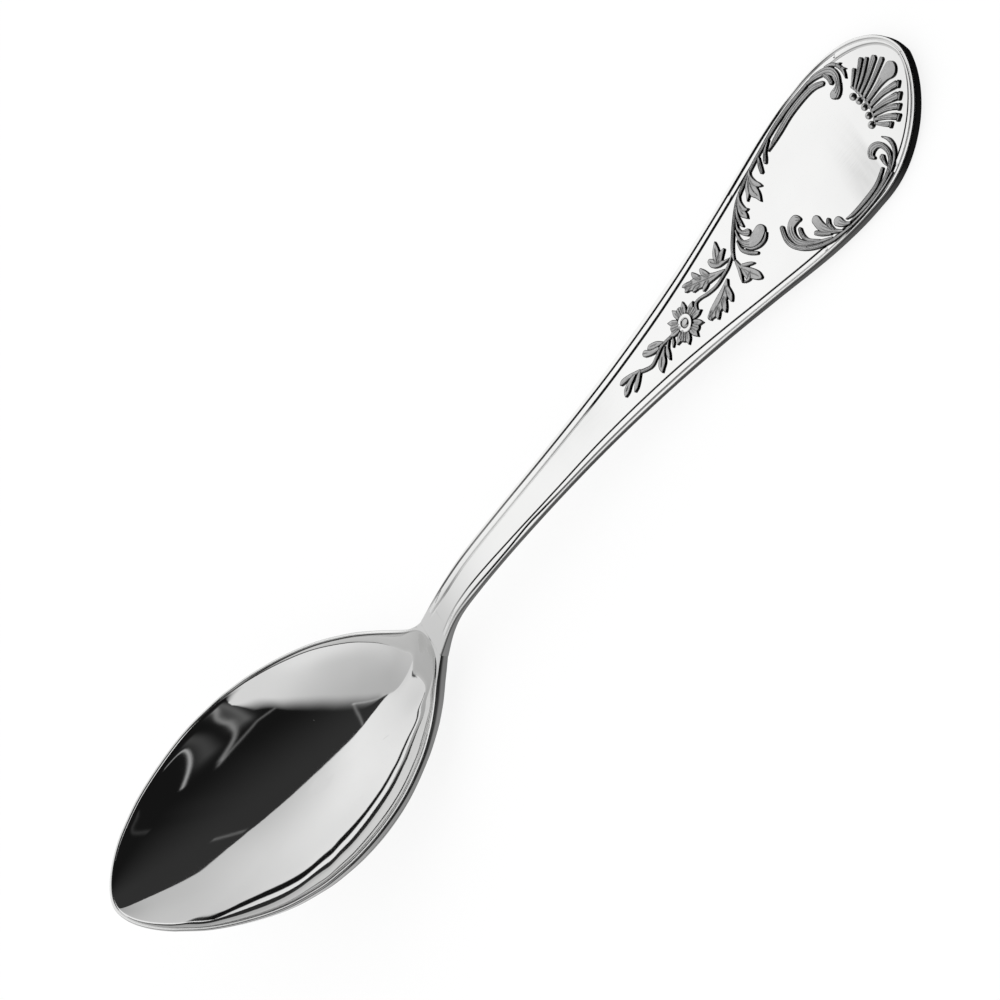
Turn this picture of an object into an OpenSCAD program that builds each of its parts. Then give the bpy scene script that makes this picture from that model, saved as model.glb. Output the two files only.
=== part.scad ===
// Rococo table spoon: a forged bowl and handle joined at the neck, a border of
// two raised threads, and applied relief: a shell with pearls, two C-scrolls,
// acanthus leaves, a leafy vine and a flower sprig.
// The spoon lies along X, face up, as it rests on a table.

/* [Overall] */
// Length from the bowl's tip to the handle's end
overall_len = 205; // [195:1:215]
// Height of the bowl's tip above the table, which the side profile follows
tip_rise = 31.6; // [28:0.2:34]

/* [Bowl] */
// Length from the bowl's tip to the joint with the handle
bowl_len = 70; // [66:0.5:74]
// Greatest width over the rim
bowl_w = 44; // [40:0.5:48]
// Depth of the hollow below the rim
bowl_depth = 9; // [7.5:0.1:10]
// Wall at the deepest place
bowl_wall = 1.2; // [1:0.05:1.6]
// Width of the flat lip round the hollow
lip_w = 1; // [0.7:0.05:1.4]
// Height of the rim's outer edge
rim_edge = 0.9; // [0.7:0.05:1.2]

/* [Handle] */
// Width where bowl and handle are joined
joint_w = 7.9; // [7.2:0.1:8.8]
// Thickness in the middle of the joint
joint_t = 3.4; // [2.8:0.1:4]
// Thickness at the edges of the joint
joint_edge = 1.3; // [1:0.05:1.6]
// Narrowest width, just past the joint
neck_w = 6.6; // [6:0.1:7.2]
// Greatest width, near the end
end_w = 27.3; // [26:0.1:29]
// Thickness of the broad end, in the middle
end_t = 1.95; // [1.7:0.05:2.4]
// Thickness of the broad end, at its edge
end_edge = 1.7; // [1.4:0.05:2]
// Thickness of the stem at its edges, where it is thinnest
stem_edge = 0.9; // [0.7:0.05:1.2]

/* [Border] */
// Width of the thread that runs along the edge
edge_thread_w = 0.6; // [0.4:0.05:0.8]
// Width of the thread inside it
inner_thread_w = 0.85; // [0.6:0.05:1.1]
// Groove left between the two threads
thread_groove = 0.3; // [0.2:0.05:0.4]
// How far the threads stand above the face
thread_h = 0.3; // [0.2:0.05:0.45]

/* [Relief] */
// How far the scrolls and stems stand above the face
scroll_h = 0.5; // [0.35:0.05:0.7]
// How far the leaves, the blossom and the shell stand above the face
leaf_h = 0.7; // [0.5:0.05:0.9]
// Radius of the pearls at the foot of the shell
pearl_r = 0.62; // [0.5:0.02:0.7]
// Radius of the blossom's centre
blossom_eye_r = 0.8; // [0.65:0.05:0.95]

/* [Rest] */
// How much of the belly and of the handle's back is worn flat where they rest
rest_cut = 0.08; // [0.05:0.01:0.15]

/* [Hidden] */

handle_len = overall_len - bowl_len;
joint_x = bowl_len;

// Side profile: [place along, height] of the rim and of the handle's face.
// Places are shares of the bowl's or the handle's length, heights of tip_rise.
bowl_profile_shares = [[0, 1], [0.085, 0.924], [0.17, 0.823], [0.285, 0.693], [0.4, 0.57],
  [0.515, 0.459], [0.63, 0.361], [0.745, 0.272], [0.83, 0.218], [0.885, 0.194],
  [0.943, 0.194], [1, 0.225]];
handle_profile_shares = [[0.03, 0.269], [0.065, 0.3], [0.12, 0.313], [0.19, 0.301],
  [0.3, 0.264], [0.445, 0.203], [0.59, 0.142], [0.74, 0.09], [0.86, 0.059], [0.93, 0.06],
  [1, 0.104]];
profile = concat(
  [for (p = bowl_profile_shares) [p[0] * bowl_len, p[1] * tip_rise]],
  [for (p = handle_profile_shares) [joint_x + p[0] * handle_len, p[1] * tip_rise]]);

// Half outline of the bowl: [place, half width] as shares of its length and half width
bowl_side_shares = [[0.1, 0.515], [0.17, 0.69], [0.257, 0.841], [0.343, 0.945], [0.43, 0.993],
  [0.471, 0.998], [0.543, 0.982], [0.629, 0.923], [0.714, 0.823], [0.8, 0.664],
  [0.857, 0.523], [0.9, 0.4], [0.943, 0.277], [0.972, 0.218]];
// The tip is a curve of this bluntness up to the first of those places
bowl_tip_power_share = 0.57;
bowl_side = concat([for (p = bowl_side_shares) [p[0] * bowl_len, p[1] * bowl_w / 2]],
  [[joint_x, joint_w / 2]]);
// The hollow follows the rim up to this share of the bowl, then closes towards its end
hollow_turn_share = 0.745;
hollow_end_share = 0.956;
hollow_close_power_share = 0.6;
// The bowl turns into the neck from this share of its length
neck_from_share = 0.58;
// Bluntness of the hollow and of the belly, and what the neck adds to each
hollow_power_share = 0.72;
hollow_soften_share = 0.1;
belly_power_share = 0.58;
belly_soften_share = 0.12;
// How quickly the neck's own thickness fades out below the bowl
neck_reach_power = 5;
// Middle of the bowl, from which its rings spread
bowl_mid_share = 0.48;

// Half outline of the handle: shares of its length and of its half width
stem_side_shares = [[0.12, 0.267], [0.207, 0.286], [0.296, 0.315], [0.385, 0.366],
  [0.474, 0.454], [0.578, 0.593], [0.667, 0.747], [0.756, 0.916], [0.815, 0.985], [0.859, 1]];
// Place of the narrowest neck, as a share of the handle's length
neck_place_share = 0.06;
handle_side = concat(
  [[joint_x, joint_w / 2], [joint_x + neck_place_share * handle_len, neck_w / 2]],
  [for (p = stem_side_shares) [joint_x + p[0] * handle_len, p[1] * end_w / 2]]);
// The round end starts at this share of the handle and has this bluntness
end_start_share = 0.859;
end_power_share = 0.56;
end_start = joint_x + end_start_share * handle_len;

// The handle's thickness changes at these shares of its length
neck_end_share = 0.12;
stem_end_share = 0.5;
broad_start_share = 0.8;
neck_end = joint_x + neck_end_share * handle_len;
stem_end = joint_x + stem_end_share * handle_len;
broad_start = joint_x + broad_start_share * handle_len;
// Thickness at the edges and in the middle: [place, thickness]
edge_t = [[joint_x, joint_edge], [neck_end, stem_edge], [stem_end, stem_edge],
  [broad_start, end_edge], [overall_len, end_edge]];
mid_t = [[joint_x, joint_t], [neck_end, (joint_t + end_t) / 2], [stem_end, end_t],
  [overall_len, end_t]];

// Number of places along each stretch and round each outline
bowl_steps = 22;
joint_steps = 4;
hollow_rings = 8;
stem_steps = 46;
end_steps = 16;
back_steps = 8;
// Step round the rim for finding its direction
probe_share = 0.002;
// How nearly the end's last station reaches the tip
end_reach_share = 0.9992;
// Running clearance between a thread and the face under it
seat_gap = 0.01;

// Bare edge outside the outer thread, and the gap kept between the relief and the threads
edge_margin = 0.08;
relief_gap = 0.04;
clear_inset = edge_margin + edge_thread_w + relief_gap;

// The relief is drawn in shares of one motif, the shell's length, counted so that the
// handle's end lies at this share. Along the handle a motif follows the handle's length,
// and across it the width that the edge thread leaves on the broad end.
motif_len_share = 0.07407;
motif_w_share = 0.3867;
motif_len = handle_len * motif_len_share;
motif_w = (end_w - 2 * clear_inset) * motif_w_share;
pattern_end_share = 20.5;

// Points along each curve of a stroke, and round each stroke's end
stroke_steps = 4;
cap_steps = 6;
// Narrowest half width that a stroke tapers to
least_share = 0.006;
// How far a slab reaches past its strokes
seat_margin = 0.2;
// Step for finding the direction of the handle's edge
probe = 0.02;

// Flutes of the shell, from the left one round to the right one, and their common foot.
// Each point of a stroke is [along, across, half width] in shares of the motif.
shell_shares = [
  [[19.32, 0.46, 0.025], [19.43, 0.55, 0.036], [19.53, 0.635, 0.04]],
  [[19.34, 0.385, 0.026], [19.55, 0.51, 0.038], [19.74, 0.635, 0.052]],
  [[19.34, 0.315, 0.024], [19.59, 0.415, 0.036], [19.84, 0.545, 0.042]],
  [[19.35, 0.235, 0.026], [19.63, 0.31, 0.042], [19.95, 0.425, 0.068]],
  [[19.36, 0.14, 0.028], [19.7, 0.195, 0.04], [20.06, 0.275, 0.052]],
  [[19.36, 0.04, 0.03], [19.7, 0.045, 0.05], [19.93, 0.04, 0.095], [20.08, 0.01, 0.14]],
  [[19.36, -0.06, 0.028], [19.7, -0.115, 0.04], [20.05, -0.28, 0.056]],
  [[19.35, -0.15, 0.028], [19.63, -0.25, 0.042], [19.92, -0.42, 0.064]],
  [[19.33, -0.23, 0.025], [19.59, -0.355, 0.038], [19.81, -0.55, 0.048]],
  [[19.3, -0.295, 0.025], [19.5, -0.45, 0.04], [19.69, -0.66, 0.052]],
  [[19.28, -0.36, 0.025], [19.38, -0.49, 0.036], [19.48, -0.61, 0.042]],
  [[19.32, 0.47, 0.02], [19.37, 0.2, 0.024], [19.37, -0.1, 0.024], [19.28, -0.37, 0.02]]];

// Pearls at the shell's foot: [along, across, share of the pearls' radius]
pearl_shares = [[19.23, 0.335, 1], [19.275, 0.185, 0.95], [19.285, 0.025, 0.95],
  [19.255, -0.145, 0.97], [19.2, -0.305, 1.02]];

// Long double band of the left scroll
left_scroll_shares = [
  [[17.5, 0.97, 0.04], [17.8, 1.035, 0.055], [18.15, 1.105, 0.06], [18.5, 1.115, 0.06],
    [18.75, 1.08, 0.055], [18.93, 0.985, 0.045]]];

// Curl at its upper end, with its inner lobe and its thin outer leaves
left_scroll_curl_shares = [
  [[18.75, 1.225, 0.03], [18.98, 1.19, 0.05], [19.13, 1.08, 0.065], [19.22, 0.92, 0.06],
    [19.22, 0.8, 0.056], [19.12, 0.71, 0.062], [19, 0.665, 0.08]],
  [[19.1, 1.08, 0.035], [19.09, 0.95, 0.04], [19.07, 0.86, 0.04]],
  [[19.15, 1.13, 0.02], [19.32, 1, 0.028], [19.39, 0.86, 0.032], [19.38, 0.75, 0.026],
    [19.33, 0.665, 0.01]]];

// Stem of the leaves along the left border, from the sprig to the curl
vine_stem_shares = [
  [[15.87, 0.06, 0.02], [15.93, 0.2, 0.032], [16.08, 0.39, 0.035], [16.3, 0.62, 0.035],
    [16.52, 0.8, 0.035], [16.8, 0.925, 0.035], [17.1, 1.025, 0.035], [17.4, 1.1, 0.035],
    [17.8, 1.185, 0.04], [18.2, 1.225, 0.04], [18.6, 1.225, 0.035], [18.74, 1.225, 0.03]]];

// Leaves that hang from it towards the middle, from the upper one down
vine_leaf_1_shares = [
  [[17.58, 1.1, 0.015], [17.42, 1.01, 0.03], [17.34, 0.91, 0.04], [17.31, 0.86, 0.03]]];
vine_leaf_2_shares = [
  [[17.26, 1.02, 0.02], [17.2, 0.91, 0.04], [17.16, 0.79, 0.035]]];
vine_leaf_3_shares = [
  [[17, 0.95, 0.03], [16.91, 0.8, 0.06], [16.88, 0.6, 0.065], [16.87, 0.43, 0.01]],
  [[16.9, 0.78, 0.04], [16.77, 0.68, 0.045], [16.69, 0.63, 0.02]],
  [[16.92, 0.76, 0.05], [16.98, 0.66, 0.045], [17.03, 0.61, 0.02]]];
vine_leaf_4_shares = [
  [[16.6, 0.86, 0.03], [16.51, 0.7, 0.05], [16.49, 0.56, 0.06], [16.51, 0.42, 0.01]],
  [[16.51, 0.6, 0.04], [16.6, 0.51, 0.015]]];
vine_leaf_5_shares = [
  [[16.44, 0.72, 0.02], [16.36, 0.58, 0.03], [16.335, 0.45, 0.035], [16.34, 0.37, 0.02]]];
vine_leaf_6_shares = [
  [[16.31, 0.56, 0.015], [16.24, 0.42, 0.025], [16.26, 0.3, 0.034], [16.34, 0.21, 0.055]]];
left_acanthus_shares = [
  [[16.19, 0.42, 0.02], [16.16, 0.25, 0.03], [16.21, 0.1, 0.05], [16.34, 0.02, 0.09],
    [16.51, 0.02, 0.132]],
  [[16.1, 0.26, 0.015], [16.085, 0.08, 0.03], [16.18, -0.07, 0.04], [16.27, -0.2, 0.035]],
  [[16.13, 0.12, 0.015], [16.23, -0.05, 0.025], [16.38, -0.145, 0.03], [16.5, -0.155, 0.015]]];

right_scroll_shares = [
  [[17.89, -1.1, 0.015], [18.05, -1.14, 0.035], [18.35, -1.15, 0.042], [18.65, -1.125, 0.04],
    [18.9, -1.015, 0.03]]];
right_outer_band_shares = [
  [[17.5, -1.19, 0.02], [17.9, -1.265, 0.025], [18.3, -1.29, 0.025], [18.7, -1.27, 0.025],
    [19, -1.22, 0.02]]];
right_scroll_curl_shares = [
  [[17.92, -1.2, 0.012], [18.2, -1.235, 0.03], [18.55, -1.235, 0.035], [18.85, -1.18, 0.04],
    [19.06, -1.08, 0.042], [19.16, -0.93, 0.042], [19.15, -0.76, 0.045], [19.08, -0.65, 0.055],
    [18.96, -0.615, 0.075], [18.88, -0.68, 0.055], [18.9, -0.76, 0.025]],
  [[18.98, -1.19, 0.015], [19.17, -1.09, 0.028], [19.29, -0.93, 0.034], [19.3, -0.76, 0.032],
    [19.23, -0.62, 0.012]],
  [[19.01, -1.08, 0.01], [19, -0.98, 0.028], [19.02, -0.87, 0.05]]];

right_acanthus_shares = [
  [[17.9, -1.275, 0.02], [17.5, -1.17, 0.035], [17.2, -1.02, 0.04], [16.98, -0.83, 0.042],
    [16.86, -0.64, 0.045], [16.83, -0.45, 0.045], [16.88, -0.25, 0.042]],
  [[17.5, -1.13, 0.02], [17.2, -0.93, 0.035], [17, -0.72, 0.055], [16.96, -0.53, 0.065],
    [17.02, -0.38, 0.075], [17.14, -0.34, 0.085], [17.22, -0.4, 0.035]],
  [[17.3, -0.98, 0.02], [17.14, -0.8, 0.03], [17.1, -0.65, 0.04], [17.125, -0.54, 0.038]]];
right_lobed_leaf_shares = [
  [[17.72, -1.2, 0.02], [17.56, -1.03, 0.05], [17.46, -0.84, 0.075], [17.445, -0.66, 0.08]],
  [[17.52, -1.05, 0.03], [17.39, -0.92, 0.042], [17.32, -0.83, 0.042]],
  [[17.6, -1.06, 0.03], [17.58, -0.92, 0.042], [17.62, -0.84, 0.036]]];
right_bulb_shares = [
  [[17.9, -1.21, 0.02], [17.8, -1.12, 0.05], [17.745, -1.01, 0.085]]];

sprig_stem_shares = [
  [[15.92, 0.18, 0.02], [15.72, 0.07, 0.03], [15.55, 0.025, 0.03], [15.35, -0.01, 0.03],
    [15.15, 0.015, 0.03], [14.98, 0.07, 0.028], [14.86, 0.055, 0.03], [14.79, -0.03, 0.025]]];
sprig_leaf_shares = [
  [[15.83, 0.155, 0.015], [15.66, 0.18, 0.045], [15.54, 0.31, 0.05], [15.51, 0.41, 0.03]],
  [[15.66, 0.2, 0.04], [15.67, 0.36, 0.06], [15.74, 0.5, 0.05], [15.77, 0.59, 0.012]],
  [[15.69, 0.26, 0.05], [15.76, 0.32, 0.05], [15.83, 0.37, 0.02]]];
bell_flower_shares = [
  [[15.88, 0.03, 0.02], [15.9, -0.13, 0.025], [15.98, -0.34, 0.075], [16.05, -0.5, 0.07],
    [16.09, -0.6, 0.015]],
  [[15.9, -0.12, 0.025], [15.85, -0.26, 0.03], [15.79, -0.41, 0.015]],
  [[15.92, -0.14, 0.025], [16.06, -0.22, 0.035], [16.13, -0.29, 0.02]]];
oak_leaf_shares = [
  [[15.65, 0.12, 0.02], [15.38, 0.15, 0.05], [15.15, 0.21, 0.08], [15.02, 0.32, 0.08],
    [14.9, 0.4, 0.06], [14.85, 0.42, 0.03]],
  [[15.15, 0.3, 0.04], [15.12, 0.43, 0.045], [15.12, 0.5, 0.03]],
  [[15.42, 0.16, 0.03], [15.33, 0.29, 0.038], [15.28, 0.41, 0.035]],
  [[15.1, 0.24, 0.04], [14.98, 0.25, 0.015]]];
long_leaf_shares = [
  [[15.56, -0.1, 0.02], [15.42, -0.19, 0.06], [15.22, -0.29, 0.085], [15.04, -0.32, 0.07],
    [14.92, -0.32, 0.035]],
  [[15.43, -0.25, 0.05], [15.44, -0.42, 0.025]],
  [[15.26, -0.32, 0.05], [15.28, -0.45, 0.025]],
  [[15.09, -0.34, 0.04], [15.07, -0.44, 0.02]]];

// The blossom has heart-shaped petals, each of two lobes
blossom_place_share = [14.52, -0.035];
blossom_petals = 5;
// Direction of the first petal, and how far its lobes turn from it
petal_turn = 10;
lobe_turn = 19;
// Lobe of a petal: [distance from the middle, half width]
lobe_shares = [[0.15, 0.06], [0.24, 0.075], [0.32, 0.045], [0.36, 0.01]];
blossom_shares = [for (k = [0:blossom_petals - 1]) for (s = [-1, 1])
  let(a = petal_turn + 360 * k / blossom_petals)
  [for (p = lobe_shares) let(b = a + s * lobe_turn * min(1, p[0] / lobe_shares[1][0]))
    [blossom_place_share[0] + p[0] * cos(b), blossom_place_share[1] + p[0] * sin(b), p[1]]]];
// Ring between the petals and the eye, as shares of the eye's radius
eye_ring_share = 1.9;

lower_stem_shares = [
  [[14.22, 0, 0.03], [14.05, 0.02, 0.03], [13.92, 0.02, 0.03], [13.75, -0.05, 0.03],
    [13.6, -0.095, 0.032], [13.46, -0.05, 0.034], [13.32, 0.03, 0.034]],
  [[14.2, -0.03, 0.012], [14.15, -0.11, 0.03], [14.1, -0.17, 0.012]]];
lower_leaf_left_shares = [
  [[13.99, 0.06, 0.02], [13.83, 0.125, 0.06], [13.74, 0.17, 0.04]],
  [[13.85, 0.07, 0.045], [13.67, 0.13, 0.055], [13.58, 0.2, 0.042]]];
lower_leaf_right_shares = [
  [[14.03, -0.04, 0.015], [13.95, -0.17, 0.04], [13.93, -0.29, 0.012]],
  [[13.95, -0.08, 0.03], [13.82, -0.17, 0.055], [13.75, -0.28, 0.045], [13.73, -0.33, 0.02]]];
end_leaf_shares = [
  [[13.34, 0.03, 0.032], [13.16, 0.1, 0.04], [12.96, 0.13, 0.02]],
  [[13.24, 0.03, 0.04], [13.03, 0.02, 0.05], [12.9, -0.05, 0.035]],
  [[13.33, 0.01, 0.025], [13.2, -0.07, 0.04], [13.1, -0.13, 0.03]]];

// Ends of the three inner threads, which give way to the scrolls: shares of the motif
inner_left_end_share = 16.5;
inner_right_end_share = 17.35;
end_left_share = 19.36;
end_right_share = 19.1;
// The threads start this share of the joint's width past the joint
thread_start_share = 0.2;
// Section of a thread: shares of its width and of its height
thread_shares = [[-0.5, 0], [-0.5, 0.6], [-0.2, 1], [0.2, 1], [0.5, 0.6], [0.5, 0]];

// Index of the table's stretch that holds x
function stretch(table, x, i = 0) =
  i >= len(table) - 2 || x < table[i + 1][0] ? i : stretch(table, x, i + 1);

// Slope of the table at point i, from its neighbours
function slope(table, i) = let(a = max(i - 1, 0), b = min(i + 1, len(table) - 1))
  (table[b][1] - table[a][1]) / (table[b][0] - table[a][0]);

// Smooth curve through the table's points
function smooth(table, x) = let(
    i = stretch(table, x),
    h = table[i + 1][0] - table[i][0],
    t = (x - table[i][0]) / h)
  (2 * t ^ 3 - 3 * t ^ 2 + 1) * table[i][1] + (t ^ 3 - 2 * t ^ 2 + t) * h * slope(table, i)
  + (3 * t ^ 2 - 2 * t ^ 3) * table[i + 1][1] + (t ^ 3 - t ^ 2) * h * slope(table, i + 1);

function face_height(x) = smooth(profile, x);

function bowl_half(x) = x < bowl_side[0][0]
  ? bowl_side[0][1] * (max(x, 0) / bowl_side[0][0]) ^ bowl_tip_power_share
  : smooth(bowl_side, x);

function handle_half(x) = x <= end_start ? smooth(handle_side, x)
  : end_w / 2 * (1 - ((x - end_start) / (overall_len - end_start)) ^ 2) ^ end_power_share;

// Outline of the bowl and of its hollow, each point at the same share t of the way round,
// from the tip along the right side (side = -1) or the left (side = 1) to the neck.
function eased(t) = (1 - cos(180 * t)) / 2;

corner_share = bowl_steps / (bowl_steps + joint_steps);

function rim_point(t, side) = t <= corner_share
  ? let(x = joint_x * eased(t / corner_share)) [x, side * bowl_half(x)]
  : [joint_x, side * joint_w / 2 * (1 - t) / (1 - corner_share)];

hollow_turn_x = hollow_turn_share * bowl_len;
hollow_end_x = hollow_end_share * bowl_len;
hollow_turn_w = bowl_half(hollow_turn_x) - lip_w;
// Share of the way round at which the rim reaches the hollow's turn
turn_share = corner_share * acos(1 - 2 * hollow_turn_x / joint_x) / 180;

// Unit vector from the rim into the hollow
function inward(t, side) = let(
    e = probe_share,
    d = rim_point(min(t + e, 1), side) - rim_point(max(t - e, 0), side),
    n = side * [d[1], -d[0]])
  t <= 0 ? [1, 0] : n / norm(n);

function hollow_point(t, side) = t <= turn_share ? rim_point(t, side) + lip_w * inward(t, side)
  : let(s = sin(90 * (t - turn_share) / (1 - turn_share)))
  [hollow_turn_x + (hollow_end_x - hollow_turn_x) * s,
    side * hollow_turn_w * (1 - s) ^ hollow_close_power_share];

bowl_mid = [bowl_mid_share * bowl_len, 0];

// Places round the outlines: down the right side to the neck and back up the left
around = concat([for (i = [0:bowl_steps + joint_steps]) [i / (bowl_steps + joint_steps), -1]],
  [for (i = [bowl_steps + joint_steps - 1:-1:1]) [i / (bowl_steps + joint_steps), 1]]);
n_around = len(around);
rim = [for (a = around) rim_point(a[0], a[1])];
hollow = [for (a = around) hollow_point(a[0], a[1])];

// How far round a point lies towards the neck, from 0 at the rim to 1 at the joint
function neckness(p) = let(
    s = min(max((p[0] / joint_x - neck_from_share) / (1 - neck_from_share), 0), 1))
  s * s * (3 - 2 * s);

// Depth of the underside below the face at the joint
function joint_depth(y) = joint_edge + (joint_t - joint_edge) * (1 - (2 * y / joint_w) ^ 2);

// The rim's outer edge grows into the neck's section
function edge_depth(p) = let(k = neckness(p))
  (1 - k) * rim_edge + k * joint_depth(min(max(p[1], -joint_w / 2), joint_w / 2));

// Bluntness of the hollow's and of the belly's curve: steep at the rim, soft at the neck
function hollow_power(p) = hollow_power_share + hollow_soften_share * neckness(p);
function belly_power(p) = belly_power_share + belly_soften_share * neckness(p);

function on_ring(p, r) = bowl_mid + r * (p - bowl_mid);

function hollow_vertex(p, r) = let(q = on_ring(p, r))
  [q[0], q[1], face_height(q[0]) - bowl_depth * (1 - r * r) ^ hollow_power(p)];

function belly_vertex(p, r) = let(
    q = on_ring(p, r),
    e = rim_edge + (edge_depth(p) - rim_edge) * r ^ neck_reach_power)
  [q[0], q[1], face_height(q[0]) - e
    - (bowl_depth + bowl_wall - e) * (1 - r * r) ^ belly_power(p)];

// Ring shares, closer together towards the rim
ring_shares = [for (i = [1:hollow_rings]) sin(90 * i / hollow_rings)];

// The bowl's rings from the hollow's bottom over the lip and down the belly
bowl_rings = concat(
  [for (r = ring_shares) [for (p = hollow) hollow_vertex(p, r)]],
  [[for (p = rim) [p[0], p[1], face_height(p[0])]]],
  [for (i = [hollow_rings - 1:-1:0]) [for (p = rim) belly_vertex(p, ring_shares[i])]]);

// Faces of a tube of closed rings, as triangles
function ring_faces(rings, n) = [for (j = [0:rings - 2]) for (i = [0:n - 1])
  let(k = (i + 1) % n, a = j * n + i, b = j * n + k) each [[a, b, b + n], [a, b + n, a + n]]];

// Lowest place of the belly and of the handle's back
function lowest(v) = min([for (p = v) p[2]]);
belly_low = lowest([for (r = bowl_rings) for (p = r) p]);

function centred(v) = [for (p = v) [p[0] - overall_len / 2, p[1], p[2] - belly_low - rest_cut]];

// Everything above the table
module above_table() {
  intersection() {
    children();
    translate([-overall_len, -overall_len / 2, 0]) cube([2 * overall_len, overall_len, overall_len]);
  }
}

module bowl() {
  top = len(bowl_rings) * n_around;
  body = [for (r = bowl_rings) each r];
  middle = [hollow_vertex(hollow[0], 0), belly_vertex(rim[0], 0)];
  caps = concat(
    [for (i = [0:n_around - 1]) [top, (i + 1) % n_around, i]],
    [for (i = [0:n_around - 1]) [top + 1, top - n_around + i, top - n_around + (i + 1) % n_around]]);
  color("silver") above_table()
    polyhedron(centred(concat(body, middle)), concat(ring_faces(len(bowl_rings), n_around), caps));
}

// Stations along the handle: even along the stem, closer round the end
stations = concat(
  [for (i = [0:stem_steps]) joint_x + (end_start - joint_x) * i / stem_steps],
  [for (i = [1:end_steps]) end_start
    + (overall_len - end_start) * sin(90 * i / end_steps) * (i == end_steps ? end_reach_share : 1)]);
face_line = [for (x = stations) [x, face_height(x)]];

// Height of the handle's face between its stations
function seat(x) = lookup(x, face_line);

// One section of the handle: its flat face and its crowned back
function section(x) = let(w = handle_half(x), z = face_height(x), e = lookup(x, edge_t),
    m = max(lookup(x, mid_t), e))
  concat([[x, -w, z], [x, w, z]],
    [for (i = [back_steps:-1:0]) let(y = w * (2 * i / back_steps - 1))
      [x, y, z - e - (m - e) * (1 - (y / w) ^ 2)]]);

module handle() {
  n = back_steps + 3;
  count = len(stations);
  points = [for (x = stations) each section(x)];
  ends = [[for (i = [0:n - 1]) i], [for (i = [n - 1:-1:0]) (count - 1) * n + i]];
  color("silver") above_table() polyhedron(centred(points), concat(ends, ring_faces(count, n)));
}

// Place on the face, in real size, of a point drawn in shares of the motif
function along(u) = overall_len - (pattern_end_share - u) * motif_len;
function placed(p) = [along(p[0]), p[1] * motif_w];

// Smooth curve through four neighbouring points, t of the way from b to c
function blend(a, b, c, d, t) = ((2 * b) + (c - a) * t + (2 * a - 5 * b + 4 * c - d) * t ^ 2
  + (3 * b - a - 3 * c + d) * t ^ 3) / 2;

function through(p, steps) = concat(
  [for (i = [0:len(p) - 2]) for (k = [0:steps - 1])
    blend(p[max(i - 1, 0)], p[i], p[i + 1], p[min(i + 2, len(p) - 1)], k / steps)],
  [p[len(p) - 1]]);

function unit(v) = v / norm(v);

// Half circle round a stroke's end, from its left side to its right
function cap(at, n, d, w) = [for (k = [1:cap_steps - 1])
  let(f = 180 * k / cap_steps) at + w * (cos(f) * n + sin(f) * d)];

// Outline of one stroke: each of its points is [along, across, half width]
function stroke_outline(shares) = let(
    c = through(shares, stroke_steps),
    q = [for (p = c) [p[0], p[1]]],
    m = len(q) - 1,
    d = [for (i = [0:m]) unit(q[min(i + 1, m)] - q[max(i - 1, 0)])],
    n = [for (v = d) [-v[1], v[0]]],
    w = [for (p = c) max(p[2], least_share)],
    round = concat([for (i = [0:m]) q[i] + w[i] * n[i]], cap(q[m], n[m], d[m], w[m]),
      [for (i = [m:-1:0]) q[i] - w[i] * n[i]], cap(q[0], -n[0], -d[0], w[0])))
  [for (p = round) placed(p)];

// Points of the handle's face line from one place to another, with both places
function face_stretch(x0, x1) = concat([[x0, seat(x0)]],
  [for (p = face_line) if (p[0] > x0 && p[0] < x1) p], [[x1, seat(x1)]]);

// Slab of the given height that lies on the handle's face from one place to another
module slab(x0, x1, height) {
  low = face_stretch(x0, x1);
  rotate([90, 0, 0]) linear_extrude(end_w, center = true)
    polygon(concat(low, [for (i = [len(low) - 1:-1:0]) low[i] + [0, height]]));
}

module on_face() {
  translate([-overall_len / 2, 0, -belly_low - rest_cut]) children();
}

// Relief of one or more strokes, of even height, with its foot on the face. It keeps
// clear of the threads beside it.
module relief(strokes, height) {
  outlines = [for (s = strokes) stroke_outline(s)];
  x = [for (o = outlines) for (p = o) p[0]];
  on_face() intersection() {
    linear_extrude(tip_rise) intersection() {
      union() for (o = outlines) polygon(o);
      polygon(field);
    }
    slab(min(x) - seat_margin, min(max(x) + seat_margin, overall_len), height);
  }
}

// A wire of rounded top laid on the face along points [x, y], of width w
module wire(path, w) {
  n = len(path);
  d = [for (i = [0:n - 1]) unit(path[min(i + 1, n - 1)] - path[max(i - 1, 0)])];
  m = len(thread_shares);
  points = [for (i = [0:n - 1]) for (p = thread_shares)
    let(q = path[i] + p[0] * w * [-d[i][1], d[i][0]])
    [q[0], q[1], seat(q[0]) + seat_gap + p[1] * thread_h]];
  ends = [[for (i = [m - 1:-1:0]) i], [for (i = [0:m - 1]) (n - 1) * m + i]];
  color("silver") polyhedron(centred(points), concat(ends, ring_faces(n, m)));
}

// Border line at a given inset from the handle's edge, on one side, for places x
function inset_point(x, side, inset) = let(
    e = probe,
    a = [x - e, handle_half(x - e)],
    b = [min(x + e, overall_len), handle_half(min(x + e, overall_len))],
    d = unit(b - a),
    p = [x, handle_half(x)] + inset * [d[1], -d[0]])
  [p[0], side * p[1]];

function border(side, inset, x0, x1) = [for (x = concat([x0], [for (x = stations)
    if (x > x0 && x < x1) x], [x1])) inset_point(x, side, inset)];

function turned(v) = [for (i = [len(v) - 1:-1:0]) v[i]];

edge_inset = edge_margin + edge_thread_w / 2;
inner_inset = edge_margin + edge_thread_w + thread_groove + inner_thread_w / 2;
thread_start = joint_x + thread_start_share * joint_w;
last_station = stations[len(stations) - 1];

// The face that the threads leave free, down the right side and back up the left. It is
// wider where the inner thread gives way to the relief.
narrow_inset = inner_inset + inner_thread_w / 2 + relief_gap;
left_gap = [along(inner_left_end_share) + relief_gap, along(end_left_share) - relief_gap];
right_gap = [along(inner_right_end_share) + relief_gap, along(end_right_share) - relief_gap];

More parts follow.
